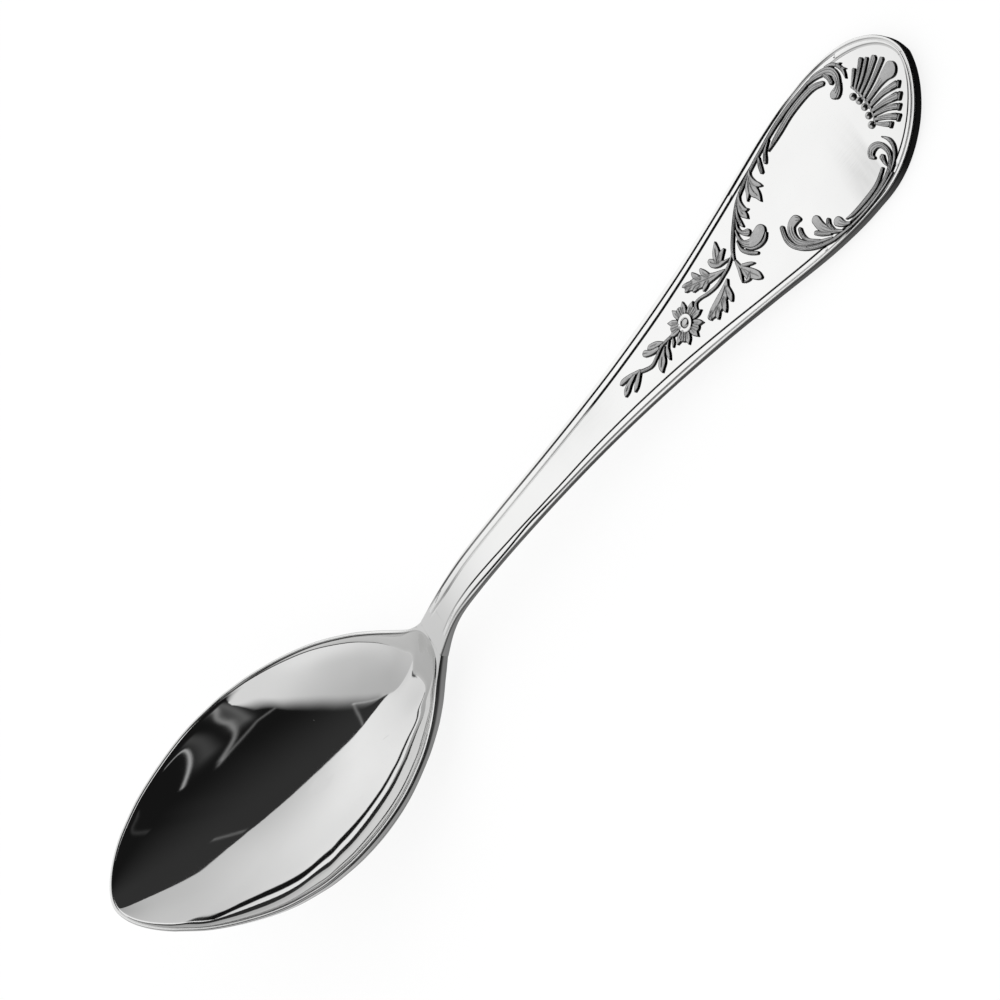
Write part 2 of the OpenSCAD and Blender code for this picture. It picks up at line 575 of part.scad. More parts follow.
function field_side(side, gap) = concat(
  border(side, narrow_inset, thread_start, gap[0]),
  border(side, clear_inset, gap[0], gap[1]),
  border(side, narrow_inset, gap[1], last_station));

field = concat(field_side(-1, right_gap), turned(field_side(1, left_gap)));

module edge_thread() wire(concat(border(1, edge_inset, thread_start, last_station),
  turned(border(-1, edge_inset, thread_start, last_station))), edge_thread_w);

module inner_thread_left() wire(border(1, inner_inset, thread_start,
  along(inner_left_end_share)), inner_thread_w);

module inner_thread_right() wire(border(-1, inner_inset, thread_start,
  along(inner_right_end_share)), inner_thread_w);

module inner_thread_end() wire(concat(
  border(1, inner_inset, along(end_left_share), last_station),
  turned(border(-1, inner_inset, along(end_right_share), last_station))), inner_thread_w);

module shell() color("slategray") relief(shell_shares, leaf_h);

// Dome of radius r on the face, at a place drawn in shares of the motif
module dome(place, r, height) {
  at = placed(place);
  x = at[0];
  on_face() intersection() {
    translate([x, at[1], seat(x) + height - r]) sphere(r, $fn = 48);
    slab(x - r - seat_margin, x + r + seat_margin, height + r);
  }
}

module pearl(i) color("gray") dome(pearl_shares[i - 1], pearl_r * pearl_shares[i - 1][2],
  pearl_r * pearl_shares[i - 1][2]);

module left_scroll() color("slategray") relief(left_scroll_shares, scroll_h);
module left_scroll_curl() color("slategray") relief(left_scroll_curl_shares, leaf_h);
module right_scroll() color("slategray") relief(right_scroll_shares, scroll_h);
module right_scroll_curl() color("slategray") relief(right_scroll_curl_shares, leaf_h);
module right_outer_band() color("gray") relief(right_outer_band_shares, scroll_h);
module right_acanthus() color("dimgray") relief(right_acanthus_shares, leaf_h);
module right_lobed_leaf() color("slategray") relief(right_lobed_leaf_shares, leaf_h);
module right_bulb() color("gray") relief(right_bulb_shares, leaf_h);
module vine_stem() color("gray") relief(vine_stem_shares, scroll_h);
module vine_leaf_1() color("slategray") relief(vine_leaf_1_shares, leaf_h);
module vine_leaf_2() color("dimgray") relief(vine_leaf_2_shares, leaf_h);
module vine_leaf_3() color("slategray") relief(vine_leaf_3_shares, leaf_h);
module vine_leaf_4() color("dimgray") relief(vine_leaf_4_shares, leaf_h);
module vine_leaf_5() color("slategray") relief(vine_leaf_5_shares, leaf_h);
module vine_leaf_6() color("dimgray") relief(vine_leaf_6_shares, leaf_h);
module left_acanthus() color("dimgray") relief(left_acanthus_shares, leaf_h);
module sprig_stem() color("gray") relief(sprig_stem_shares, scroll_h);
module sprig_leaf() color("slategray") relief(sprig_leaf_shares, leaf_h);
module bell_flower() color("dimgray") relief(bell_flower_shares, leaf_h);
module oak_leaf() color("slategray") relief(oak_leaf_shares, leaf_h);
module long_leaf() color("dimgray") relief(long_leaf_shares, leaf_h);

module blossom() color("slategray") difference() {
  relief(blossom_shares, leaf_h);
  on_face() translate(placed(blossom_place_share))
    cylinder(h = tip_rise, r = eye_ring_share * blossom_eye_r, $fn = 64);
}

module blossom_eye() color("silver") dome(blossom_place_share, blossom_eye_r, leaf_h);
module lower_stem() color("gray") relief(lower_stem_shares, scroll_h);
module lower_leaf_left() color("slategray") relief(lower_leaf_left_shares, leaf_h);
module lower_leaf_right() color("dimgray") relief(lower_leaf_right_shares, leaf_h);
module end_leaf() color("slategray") relief(end_leaf_shares, leaf_h);

bowl();
handle();
edge_thread();
inner_thread_left();
inner_thread_right();
inner_thread_end();
shell();
pearl(1);  // pearl_1
pearl(2);  // pearl_2
pearl(3);  // pearl_3
pearl(4);  // pearl_4
pearl(5);  // pearl_5
left_scroll();
left_scroll_curl();
right_scroll();
right_scroll_curl();
right_outer_band();
right_acanthus();
right_lobed_leaf();
right_bulb();
vine_stem();
vine_leaf_1();
vine_leaf_2();
vine_leaf_3();
vine_leaf_4();
vine_leaf_5();
vine_leaf_6();
left_acanthus();
sprig_stem();
sprig_leaf();
bell_flower();
oak_leaf();
long_leaf();
blossom();
blossom_eye();
lower_stem();
lower_leaf_left();
lower_leaf_right();
end_leaf();
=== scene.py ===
# Looks of a rococo table spoon in polished and oxidised silver.
# Shapes are worked out in millimetres from the bowl's tip (x along the spoon, y to its left,
# z up from the table's own zero), and are turned into metres in the frame when a mesh is made.
import bpy
import math
import numpy as np
from mathutils import Matrix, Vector
from mathutils.kdtree import KDTree


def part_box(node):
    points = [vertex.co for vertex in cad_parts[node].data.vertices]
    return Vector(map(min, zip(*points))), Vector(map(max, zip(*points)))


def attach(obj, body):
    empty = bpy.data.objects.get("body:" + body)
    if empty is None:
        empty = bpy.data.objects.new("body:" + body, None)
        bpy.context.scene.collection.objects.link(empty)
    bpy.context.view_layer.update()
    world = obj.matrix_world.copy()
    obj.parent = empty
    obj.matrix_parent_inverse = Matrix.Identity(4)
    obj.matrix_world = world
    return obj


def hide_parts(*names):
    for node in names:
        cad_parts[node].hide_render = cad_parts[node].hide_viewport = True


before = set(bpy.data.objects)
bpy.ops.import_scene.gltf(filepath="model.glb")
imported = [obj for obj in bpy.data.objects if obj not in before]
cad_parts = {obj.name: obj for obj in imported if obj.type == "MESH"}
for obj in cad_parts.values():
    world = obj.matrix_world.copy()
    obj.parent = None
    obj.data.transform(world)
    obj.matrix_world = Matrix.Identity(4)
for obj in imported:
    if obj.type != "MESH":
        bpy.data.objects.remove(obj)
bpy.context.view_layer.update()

MM = 0.001

# Sizes of the spoon, as in the part's own source, but with the photograph's narrower lip
OVERALL_LEN = 205.0
TIP_RISE = 31.6
BOWL_LEN = 70.0
BOWL_W = 44.0
BOWL_DEPTH = 9.0
BOWL_WALL = 1.2
LIP_W = 0.55
RIM_EDGE = 0.9
JOINT_W = 7.9
JOINT_T = 3.4
JOINT_EDGE = 1.3
NECK_W = 6.6
END_W = 27.3
END_T = 1.95
END_EDGE = 1.7
STEM_EDGE = 0.9
MOTIF = 10.0
PATTERN_END = 20.5
HANDLE_LEN = OVERALL_LEN - BOWL_LEN

# Side profile and outlines: [place, value] as shares of the sizes above
BOWL_PROFILE = [[0, 1], [0.085, 0.924], [0.17, 0.823], [0.285, 0.693], [0.4, 0.57],
    [0.515, 0.459], [0.63, 0.361], [0.745, 0.272], [0.83, 0.218], [0.885, 0.194],
    [0.943, 0.194], [1, 0.225]]
HANDLE_PROFILE = [[0.03, 0.269], [0.065, 0.3], [0.12, 0.313], [0.19, 0.301],
    [0.3, 0.264], [0.445, 0.203], [0.59, 0.142], [0.74, 0.09], [0.86, 0.059],
    [0.93, 0.06], [1, 0.104]]
BOWL_SIDE = [[0.1, 0.515], [0.17, 0.69], [0.257, 0.841], [0.343, 0.945], [0.43, 0.993],
    [0.471, 0.998], [0.543, 0.982], [0.629, 0.923], [0.714, 0.823], [0.8, 0.664],
    [0.857, 0.523], [0.9, 0.4], [0.943, 0.277], [0.972, 0.218]]
STEM_SIDE = [[0.12, 0.267], [0.207, 0.286], [0.296, 0.315], [0.385, 0.366],
    [0.474, 0.454], [0.578, 0.593], [0.667, 0.747], [0.756, 0.916], [0.815, 0.985],
    [0.859, 1]]
TIP_POWER = 0.57
END_POWER = 0.56
END_START = BOWL_LEN + 0.859 * HANDLE_LEN
NECK_PLACE = 0.06
PROFILE_BLUR = 2.5

# The hollow's outline and curve, which is evened out towards an ellipse in its middle, and
# the belly's curve, which grows into the neck
BOWL_MID = np.array([0.48 * BOWL_LEN, 0.0])
HOLLOW_TURN_X = 0.975 * BOWL_LEN
HOLLOW_END_X = 0.998 * BOWL_LEN
HOLLOW_CLOSE_POWER = 0.6
HOLLOW_BLUR = 1.6
HOLLOW_POWER = 0.72
HOLLOW_SOFTEN = 0.45
HOLLOW_NECK_ANGLE = 9.0
EVEN_HOLLOW = [34.0, 21.3]
BELLY_POWER = 0.58
BELLY_SOFTEN = 0.12
NECK_FROM = 0.58
NECK_REACH = 5

# Roundness of the edges, and of the heel under the joint
TOP_ROUND = 0.22
LOW_ROUND = 0.28
HEEL_REACH_POWER = 12
# Extra thickness of the edge at the shoulders, where the bowl runs into the neck
SHOULDER_T = 0.85
SHOULDER_X = 67.0
SHOULDER_REACH = [9.0, 5.5]

# Painted shade on the metal, as shares of its black: a darker tone painted in the bowl and on the
# neck, and painted dark lines along the rim and under the lip, where the metal would reflect
# dark. A fade is
# [where it starts, its length] in millimetres, degrees or rings.
# Black of the painted shade, and of the relief's patina
PATINA_AND_SHADE_BLACK = (0.012, 0.012, 0.012)
BOWL_SHADE = 0.16
BOWL_SHADE_FADE = [54.0, 10.0]
UNSHADED_WALL_FADE = [38.0, 12.0]
UNSHADED_WALL_RINGS = [-26, 14]
NECK_SHADE = 0.15
NECK_SHADE_FADE = [BOWL_LEN, 22.0]
JOINT_SHADE_FADE = [60.0, 8.0]
RIM_SHADE = 0.8
RIM_SHADE_RINGS = [16, 20]
RIM_SHADE_W = 0.1
LIP_SHADE = 0.85
LIP_SHADE_RINGS = [-4, 2]
LIP_SHADE_IN = [4.0, 14.0]
LIP_SHADE_OUT = [70.0, 30.0]

# Rows and columns of the meshes. Along the outline: rows of the stem and of the round end.
SIDE_ROWS = [2400, 700]
BOWL_SIDE_ROWS = 1200
HANDLE_ROWS = [620, 150]
THREAD_ROWS = [900, 260]
# Round the bowl: points along each side and across the joint. Over the hollow and the belly:
# the rings and their span, as shares of a half turn.
BOWL_AROUND = [260, 28]
BOWL_RINGS = 70
HOLLOW_SPAN = [0.02, 0.485]
BELLY_SPAN = [0.468, 0.02]
# Across the lip and the bowl's edge, as shares of the way or as millimetres in from the rim
LIP_CORNER = 0.16
LIP_CORNER_RINGS = 6
LIP_SHARES = [0.25, 0.5, 0.75]
EDGE_INSETS = [0.24, 0.2, 0.16, 0.12, 0.085, 0.055, 0.03, 0.012, 0]
WALL_SHARES = [0.2, 0.5, 0.8]
UNDER_INSETS = [0.015, 0.04, 0.075, 0.115, 0.16, 0.21, 0.27]
# Across the handle: columns at the outline, at an engraved line (in its half widths), over the
# field and down a side
EDGE_COLUMNS = np.array([0, 0.012, 0.03, 0.055, 0.085, 0.115])
LINE_COLUMNS = np.array([-1.15, -1, -0.8, -0.6, 0, 0.6, 0.8, 1, 1.15])
FIELD_EDGE = 0.3
FIELD_COLUMNS = 40
WALL_COLUMNS = 4


def table(shares, length, height, start=0.0):
    return np.array(shares) * [length, height] + [start, 0.0]


PROFILE = np.vstack([table(BOWL_PROFILE, BOWL_LEN, TIP_RISE),
    table(HANDLE_PROFILE, HANDLE_LEN, TIP_RISE, BOWL_LEN)])
BOWL_OUTLINE = np.vstack([table(BOWL_SIDE, BOWL_LEN, BOWL_W / 2), [[BOWL_LEN, JOINT_W / 2]]])
HANDLE_OUTLINE = np.vstack([[[BOWL_LEN, JOINT_W / 2],
    [BOWL_LEN + NECK_PLACE * HANDLE_LEN, NECK_W / 2]],
    table(STEM_SIDE, HANDLE_LEN, END_W / 2, BOWL_LEN)])
# Thickness at the edge and in the middle: [place, value]
NECK_END = BOWL_LEN + 0.12 * HANDLE_LEN
STEM_END = BOWL_LEN + 0.5 * HANDLE_LEN
BROAD_START = BOWL_LEN + 0.8 * HANDLE_LEN
EDGE_T = np.array([[BOWL_LEN, JOINT_EDGE], [NECK_END, STEM_EDGE], [STEM_END, STEM_EDGE],
    [BROAD_START, END_EDGE], [OVERALL_LEN, END_EDGE]])
MID_T = np.array([[BOWL_LEN, JOINT_T], [NECK_END, (JOINT_T + END_T) / 2],
    [STEM_END, END_T], [OVERALL_LEN, END_T]])

# Height of the table's zero below the profile's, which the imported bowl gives
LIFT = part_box("bowl")[1].z / MM - TIP_RISE


def smooth(points, x):
    """Smooth curve through a table's points."""
    x = np.asarray(x, float)
    place = np.arange(len(points))
    i = np.clip(np.searchsorted(points[:, 0], x, side="right") - 1, 0, len(points) - 2)
    a = np.maximum(place - 1, 0)
    b = np.minimum(place + 1, len(points) - 1)
    slope = (points[b, 1] - points[a, 1]) / (points[b, 0] - points[a, 0])
    h = points[i + 1, 0] - points[i, 0]
    t = (x - points[i, 0]) / h
    return ((2 * t**3 - 3 * t**2 + 1) * points[i, 1] + (t**3 - 2 * t**2 + t) * h * slope[i]
        + (3 * t**2 - 2 * t**3) * points[i + 1, 1] + (t**3 - t**2) * h * slope[i + 1])


def straight(points, x, k=1):
    """Straight lines through a table's points, by its column k."""
    return np.interp(x, points[:, 0], points[:, k])


def unit(x):
    """Values held between 0 and 1."""
    return np.clip(x, 0, 1)


def step(x):
    x = unit(x)
    return x * x * (3 - 2 * x)


def fade(x, start, length):
    """0 up to the start, 1 from the end of the length on, and smooth between."""
    return step((x - start) / length)


def blurred(values, spread, mode, **how):
    """A row of values smoothed by a bell curve whose spread is in steps of the row."""
    k = np.arange(-int(4 * spread), int(4 * spread) + 1)
    bell = np.exp(-0.5 * (k / spread) ** 2)
    padded = np.pad(values, len(k) // 2, mode=mode, **how)
    return np.convolve(padded, bell / bell.sum(), mode="valid")


PROFILE_X = np.linspace(0, OVERALL_LEN, 4101)
PROFILE_Z = blurred(smooth(PROFILE, PROFILE_X), PROFILE_BLUR / (PROFILE_X[1] - PROFILE_X[0]),
    "reflect", reflect_type="odd")


def face_height(x):
    return np.interp(x, PROFILE_X, PROFILE_Z)


def bowl_half(x):
    x = np.asarray(x, float)
    first = BOWL_OUTLINE[0]
    tip = first[1] * (np.maximum(x, 0) / first[0]) ** TIP_POWER
    return np.where(x < first[0], tip, smooth(BOWL_OUTLINE, x))


def handle_half(x):
    x = np.asarray(x, float)
    u = unit((x - END_START) / (OVERALL_LEN - END_START))
    return np.where(x <= END_START, smooth(HANDLE_OUTLINE, x),
        END_W / 2 * (1 - u**2) ** END_POWER)


def turned(v):
    """Unit vectors a quarter turn to the left of v."""
    n = np.stack([-v[..., 1], v[..., 0]], -1)
    return n / (np.linalg.norm(n, axis=-1, keepdims=True) + 1e-12)


def along_path(points):
    """Unit direction at each point of a path."""
    d = np.gradient(points, axis=0)
    return d / (np.linalg.norm(d, axis=1, keepdims=True) + 1e-12)


def handle_stations(n_stem, n_end):
    """Places along the handle: even on the stem, and closer together towards the end's tip."""
    stem = np.linspace(BOWL_LEN, END_START, n_stem + 1)
    end = END_START + (OVERALL_LEN - END_START) * np.sin(np.linspace(0, np.pi / 2, n_end + 1)[1:])
    return np.concatenate([stem, end])


# Outline of the whole spoon's right side, from the bowl's tip to the handle's end
bowl_x = BOWL_LEN * (1 - np.cos(np.linspace(0, np.pi, BOWL_SIDE_ROWS + 1))) / 2
handle_x = handle_stations(*SIDE_ROWS)
SIDE = np.vstack([np.stack([bowl_x, -bowl_half(bowl_x)], 1),
    np.stack([handle_x[1:], -handle_half(handle_x[1:])], 1)])
SIDE_DIR = along_path(SIDE)

side_tree = KDTree(len(SIDE))
for k, place in enumerate(SIDE):
    side_tree.insert((place[0], place[1], 0), k)
side_tree.balance()


def edge_distance(x, y):
    """Distance of each point inside the outline from it."""
    x = np.asarray(x, float)
    y = -np.abs(np.asarray(y, float))
    flat = np.stack([x.ravel(), y.ravel()], 1)
    i = np.array([side_tree.find((p[0], p[1], 0))[1] for p in flat])
    off = flat - SIDE[i]
    d = SIDE_DIR[i]
    return np.maximum(d[:, 0] * off[:, 1] - d[:, 1] * off[:, 0], 0).reshape(x.shape)


def rounding(d, r):
    """How far a quarter-round edge of radius r drops at distance d inside the edge."""
    u = unit(1 - d / r)
    return r * (1 - np.sqrt(np.maximum(1 - u * u, 0)))


def neckness(x):
    return step((x / BOWL_LEN - NECK_FROM) / (1 - NECK_FROM))


def shoulder(x):
    reach = np.where(x < SHOULDER_X, *SHOULDER_REACH)
    return SHOULDER_T * np.exp(-((x - SHOULDER_X) / reach) ** 2)


def joint_depth(y):
    return JOINT_EDGE + (JOINT_T - JOINT_EDGE) * (1 - (2 * y / JOINT_W) ** 2)


def below_face(q, drop=0):
    """Points of the plan at their depth below the spoon's face."""
    return np.c_[q, face_height(q[:, 0]) - drop]


def along(u):
    """Place along the spoon of a place in the pattern, whose unit is the motif."""
    return OVERALL_LEN - (PATTERN_END - u) * MOTIF


# Making meshes

def grid_faces(rows, cols, closed_rows=False, closed_cols=False):
    """Quads over a grid of vertices that is stored row by row."""
    i = np.arange(rows if closed_rows else rows - 1)
    j = np.arange(cols if closed_cols else cols - 1)
    i, j = np.meshgrid(i, j, indexing="ij")
    a = i * cols + j
    b = i * cols + (j + 1) % cols
    c = ((i + 1) % rows) * cols + (j + 1) % cols
    d = ((i + 1) % rows) * cols + j
    return np.stack([a, b, c, d], -1).reshape(-1, 4)


def tube_faces(rows, cols):
    """Faces of a row of closed sections, with its two ends capped."""
    faces = grid_faces(rows, cols, closed_cols=True)[:, ::-1].tolist()
    return faces + [list(range(cols)), [rows * cols - 1 - k for k in range(cols)]]


def to_frame(points):
    return (np.asarray(points) - [OVERALL_LEN / 2, 0, -LIFT]) * MM


def link_object(name, data):
    obj = bpy.data.objects.new(name, data)
    bpy.context.scene.collection.objects.link(obj)
    return obj


def new_mesh(name, points, faces, material):
    mesh = bpy.data.meshes.new(name)
    mesh.from_pydata(points.tolist(), [], [list(map(int, f)) for f in faces])
    mesh.polygons.foreach_set("use_smooth", [True] * len(mesh.polygons))
    mesh.materials.append(material)
    return mesh


def make_piece(name, points, faces, material, sharp, shade_and_patina):
    """A piece from points in millimetres, each with its share of black for patina and painted
    shade, which rides on the spoon's one body."""
    mesh = new_mesh(name, to_frame(points), faces, material)
    # Patina and painted shade, which the materials mix in as black
    layer = mesh.attributes.new("patina_and_painted_shade", "FLOAT", "POINT")
    layer.data.foreach_set("value", np.asarray(shade_and_patina, np.float32))
    mesh.validate()
    mesh.set_sharp_from_angle(angle=math.radians(sharp))
    mesh.update()
    piece = link_object(name, mesh)
    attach(piece, "root")
    return piece


# Materials

def new_material(name):
    material = bpy.data.materials.new(name)
    material.use_nodes = True
    material.node_tree.nodes.clear()
    return material, material.node_tree


def set_input(tree, socket, value):
    """A constant, or another node's output, into a socket."""
    if isinstance(value, bpy.types.NodeSocket):
        tree.links.new(value, socket)
    else:
        socket.default_value = value


def add_node(tree, kind, settings=(), **inputs):
    """A node with its settings and inputs, where Base_Color stands for the Base Color."""
    node = tree.nodes.new("ShaderNode" + kind)
    for name, value in settings:
        setattr(node, name, value)
    for name, value in inputs.items():
        set_input(tree, node.inputs[name.replace("_", " ")], value)
    return node


def maths(tree, operation, a, b):
    node = add_node(tree, "Math", [("operation", operation)])
    set_input(tree, node.inputs[0], a)
    set_input(tree, node.inputs[1], b)
    return node.outputs["Value"]


def noise(tree, coords, scale, detail, rough=0.5):
    return add_node(tree, "TexNoise", Vector=coords, Scale=scale, Detail=detail,
        Roughness=rough).outputs["Fac"]


def mapped(tree, value, low, high):
    """The middle of a noise's values, spread from low to high."""
    return add_node(tree, "MapRange", Value=value, From_Min=0.3, From_Max=0.7, To_Min=low,
        To_Max=high).outputs["Result"]


def ramped(tree, value, stops):
    """Colour that runs through the stops, each a place and its colour."""
    ramp = add_node(tree, "ValToRGB", Fac=value)
    elements = ramp.color_ramp.elements
    for place, _ in stops[1:-1]:
        elements.new(place)
    for k, (place, color) in enumerate(stops):
        elements[k].position = place
        elements[k].color = (*color, 1)
    return ramp.outputs["Color"]


def attribute(tree, name):
    return add_node(tree, "Attribute", [("attribute_name", name)])


def finish_metal(tree, color, rough, height, strength, distance):
    bump = add_node(tree, "Bump", Height=height, Strength=strength, Distance=distance)
    shader = add_node(tree, "BsdfPrincipled", Metallic=1.0, Base_Color=color, Roughness=rough,
        Normal=bump.outputs["Normal"])
    add_node(tree, "OutputMaterial", Surface=shader.outputs["BSDF"])


def polished_silver():
    """Bright silver with faint wiping scratches along the spoon and a soft greying, mixed to
    black by painted shade, and in the engraved lines by patina and painted shade.
    """
    material, tree = new_material("polished_silver")
    coords = add_node(tree, "TexCoord").outputs["Object"]
    greying = noise(tree, coords, scale=60.0, detail=4.0)
    bright = ramped(tree, greying, [(0.3, (0.9, 0.9, 0.895)), (0.7, (0.95, 0.95, 0.945))])
    # Black mixed in where the attribute holds painted shade, or patina and painted shade
    color = add_node(tree, "Mix", [("data_type", "RGBA")], A=bright, B=(*PATINA_AND_SHADE_BLACK, 1),
        Factor=attribute(tree, "patina_and_painted_shade").outputs["Fac"]).outputs["Result"]
    wiped = add_node(tree, "Mapping", Vector=coords, Scale=(150.0, 2500.0, 2500.0))
    lines = noise(tree, wiped.outputs["Vector"], scale=1.0, detail=2.0)
    finish_metal(tree, color, mapped(tree, greying, 0.02, 0.045), lines, strength=0.03,
        distance=0.00002)
    return material


def oxidised_silver():
    """Grey patina on the relief: lighter on the crests, near black in the hollows by patina and
    painted shade.
    """
    material, tree = new_material("oxidised_silver")
    coords = add_node(tree, "TexCoord").outputs["Object"]
    patches = noise(tree, coords, scale=900.0, detail=5.0, rough=0.6)
    # Patina and painted shade from the attribute, with a little random variation
    depth = maths(tree, "ADD", attribute(tree, "patina_and_painted_shade").outputs["Fac"],
        mapped(tree, patches, -0.06, 0.06))
    color = ramped(tree, depth, [(0.0, (0.53, 0.53, 0.53)), (0.3, (0.41, 0.41, 0.41)),
        (0.85, PATINA_AND_SHADE_BLACK)])
    grain = noise(tree, coords, scale=6000.0, detail=3.0)
    finish_metal(tree, color, mapped(tree, patches, 0.3, 0.42), grain, strength=0.15,
        distance=0.00004)
    return material


SILVER = polished_silver()
OXIDISED = oxidised_silver()


# Bowl

def bowl_outlines(n_side, n_joint):
    """Rim and hollow, each point at the same share of the way round, down the right side
    from the tip and back up the left."""
    n = n_side + n_joint
    corner = n_side / n
    turn = corner * math.acos(1 - 2 * HOLLOW_TURN_X / BOWL_LEN) / math.pi
    share = np.concatenate([np.arange(n + 1), np.arange(n - 1, 0, -1)]) / n
    side = np.concatenate([-np.ones(n + 1), np.ones(n - 1)])

    def rim_at(t):
        x = BOWL_LEN * (1 - np.cos(np.pi * unit(t / corner))) / 2
        return np.stack([np.where(t <= corner, x, BOWL_LEN), side * np.where(t <= corner,
            bowl_half(x), JOINT_W / 2 * (1 - t) / (1 - corner))], -1)

    rim = rim_at(share)
    probe = 0.002
    d = rim_at(np.minimum(share + probe, 1)) - rim_at(np.maximum(share - probe, 0))
    inward = -side[:, None] * turned(d)
    inward[share <= 0] = [1, 0]
    q = np.sin(np.pi / 2 * unit((share - turn) / (1 - turn)))
    turn_w = bowl_half(HOLLOW_TURN_X) - LIP_W
    closing = np.stack([HOLLOW_TURN_X + (HOLLOW_END_X - HOLLOW_TURN_X) * q,
        side * turn_w * (1 - q) ** HOLLOW_CLOSE_POWER], -1)
    hollow = np.where((share <= turn)[:, None], rim + LIP_W * inward, closing) - BOWL_MID
    # Even out the hollow's outline, as reach from the bowl's middle in each direction
    angle = np.degrees(np.arctan2(hollow[:, 1], hollow[:, 0]))
    turn_step = 0.25
    all_round = np.arange(-180, 180, turn_step)
    reach = np.interp(all_round, angle[np.argsort(angle)],
        np.linalg.norm(hollow, axis=1)[np.argsort(angle)], period=360)
    reach = blurred(reach, HOLLOW_BLUR / turn_step, "wrap")
    reach = np.interp(angle, all_round, reach, period=360)[:, None]
    way = np.radians(angle)
    return rim, BOWL_MID + reach * np.stack([np.cos(way), np.sin(way)], 1)


def hollow_ring(edge, r):
    """One ring of the hollow: an even round shape in its middle, the rim's own shape at r 1,
    and a soft run-out where the hollow ends in the neck."""
    off = r * (edge - BOWL_MID)
    angle = np.degrees(np.arctan2(np.abs(off[:, 1]), off[:, 0]))
    own = step(r)
    power = HOLLOW_POWER + HOLLOW_SOFTEN * np.exp(-(angle / HOLLOW_NECK_ANGLE) ** 2) * own
    even = (off[:, 0] / EVEN_HOLLOW[0]) ** 2 + (off[:, 1] / EVEN_HOLLOW[1]) ** 2
    filled = (1 - own) * even + own * r * r
    return below_face(BOWL_MID + off, BOWL_DEPTH * (1 - filled) ** power)


def belly_ring(rim, r):
    """One ring of the belly, whose depth at the rim grows from the edge's to the joint's."""
    k = neckness(rim[:, 0])
    edge = (1 - k) * RIM_EDGE + k * joint_depth(np.clip(rim[:, 1], -JOINT_W / 2, JOINT_W / 2))
    edge = edge + shoulder(rim[:, 0]) * unit(np.abs(rim[:, 1]) / (JOINT_W / 2))
    e = RIM_EDGE + (edge - RIM_EDGE) * r**NECK_REACH
    heel = 1 - k * r**HEEL_REACH_POWER
    power = BELLY_POWER + BELLY_SOFTEN * k
    drop = e + (BOWL_DEPTH + BOWL_WALL - e) * (1 - r * r) ** power * heel
    return below_face(BOWL_MID + r * (rim - BOWL_MID), drop)


def round_corner(a, corner, b, steps):
    """Curve from a to b that bends at the corner, as a list of rings between them."""
    return [(1 - t) ** 2 * a + 2 * t * (1 - t) * corner + t**2 * b
        for t in np.linspace(0, 1, steps + 2)[1:-1]]


def bowl_painted_shade(points, n_hollow):
    """Painted shade: a darker tone that thins out towards the neck and on its left wall, the same
    over the joint, and painted dark lines under the lip and along the rim. Rings are counted from
    the hollow's last."""
    x, y = points[..., 0], points[..., 1]
    angle = np.degrees(np.arctan2(y, x - BOWL_MID[0]))
    ring = np.arange(len(points))[:, None] - n_hollow

    def between(span):
        return (ring >= span[0]) * (ring < span[1])

    # Painted shade, left lighter on the bowl's left wall
    unshaded = fade(ring, *UNSHADED_WALL_RINGS) * (ring < 0) * fade(x, *UNSHADED_WALL_FADE) * (y > 0)
    greying = BOWL_SHADE * (1 - fade(x, *BOWL_SHADE_FADE)) * (1 - unshaded)
    lip = LIP_SHADE * fade(angle, *LIP_SHADE_IN) * (1 - fade(angle, *LIP_SHADE_OUT))
    joint = NECK_SHADE * fade(x, *JOINT_SHADE_FADE) * (ring >= 0)
    shade_and_patina = greying + between(LIP_SHADE_RINGS) * lip + joint + between(RIM_SHADE_RINGS) * RIM_SHADE
    return unit(shade_and_patina)


def half_turn(span):
    """Shares of the bowl's width at even turns round a half circle."""
    return np.sin(np.linspace(*span, BOWL_RINGS) * np.pi)


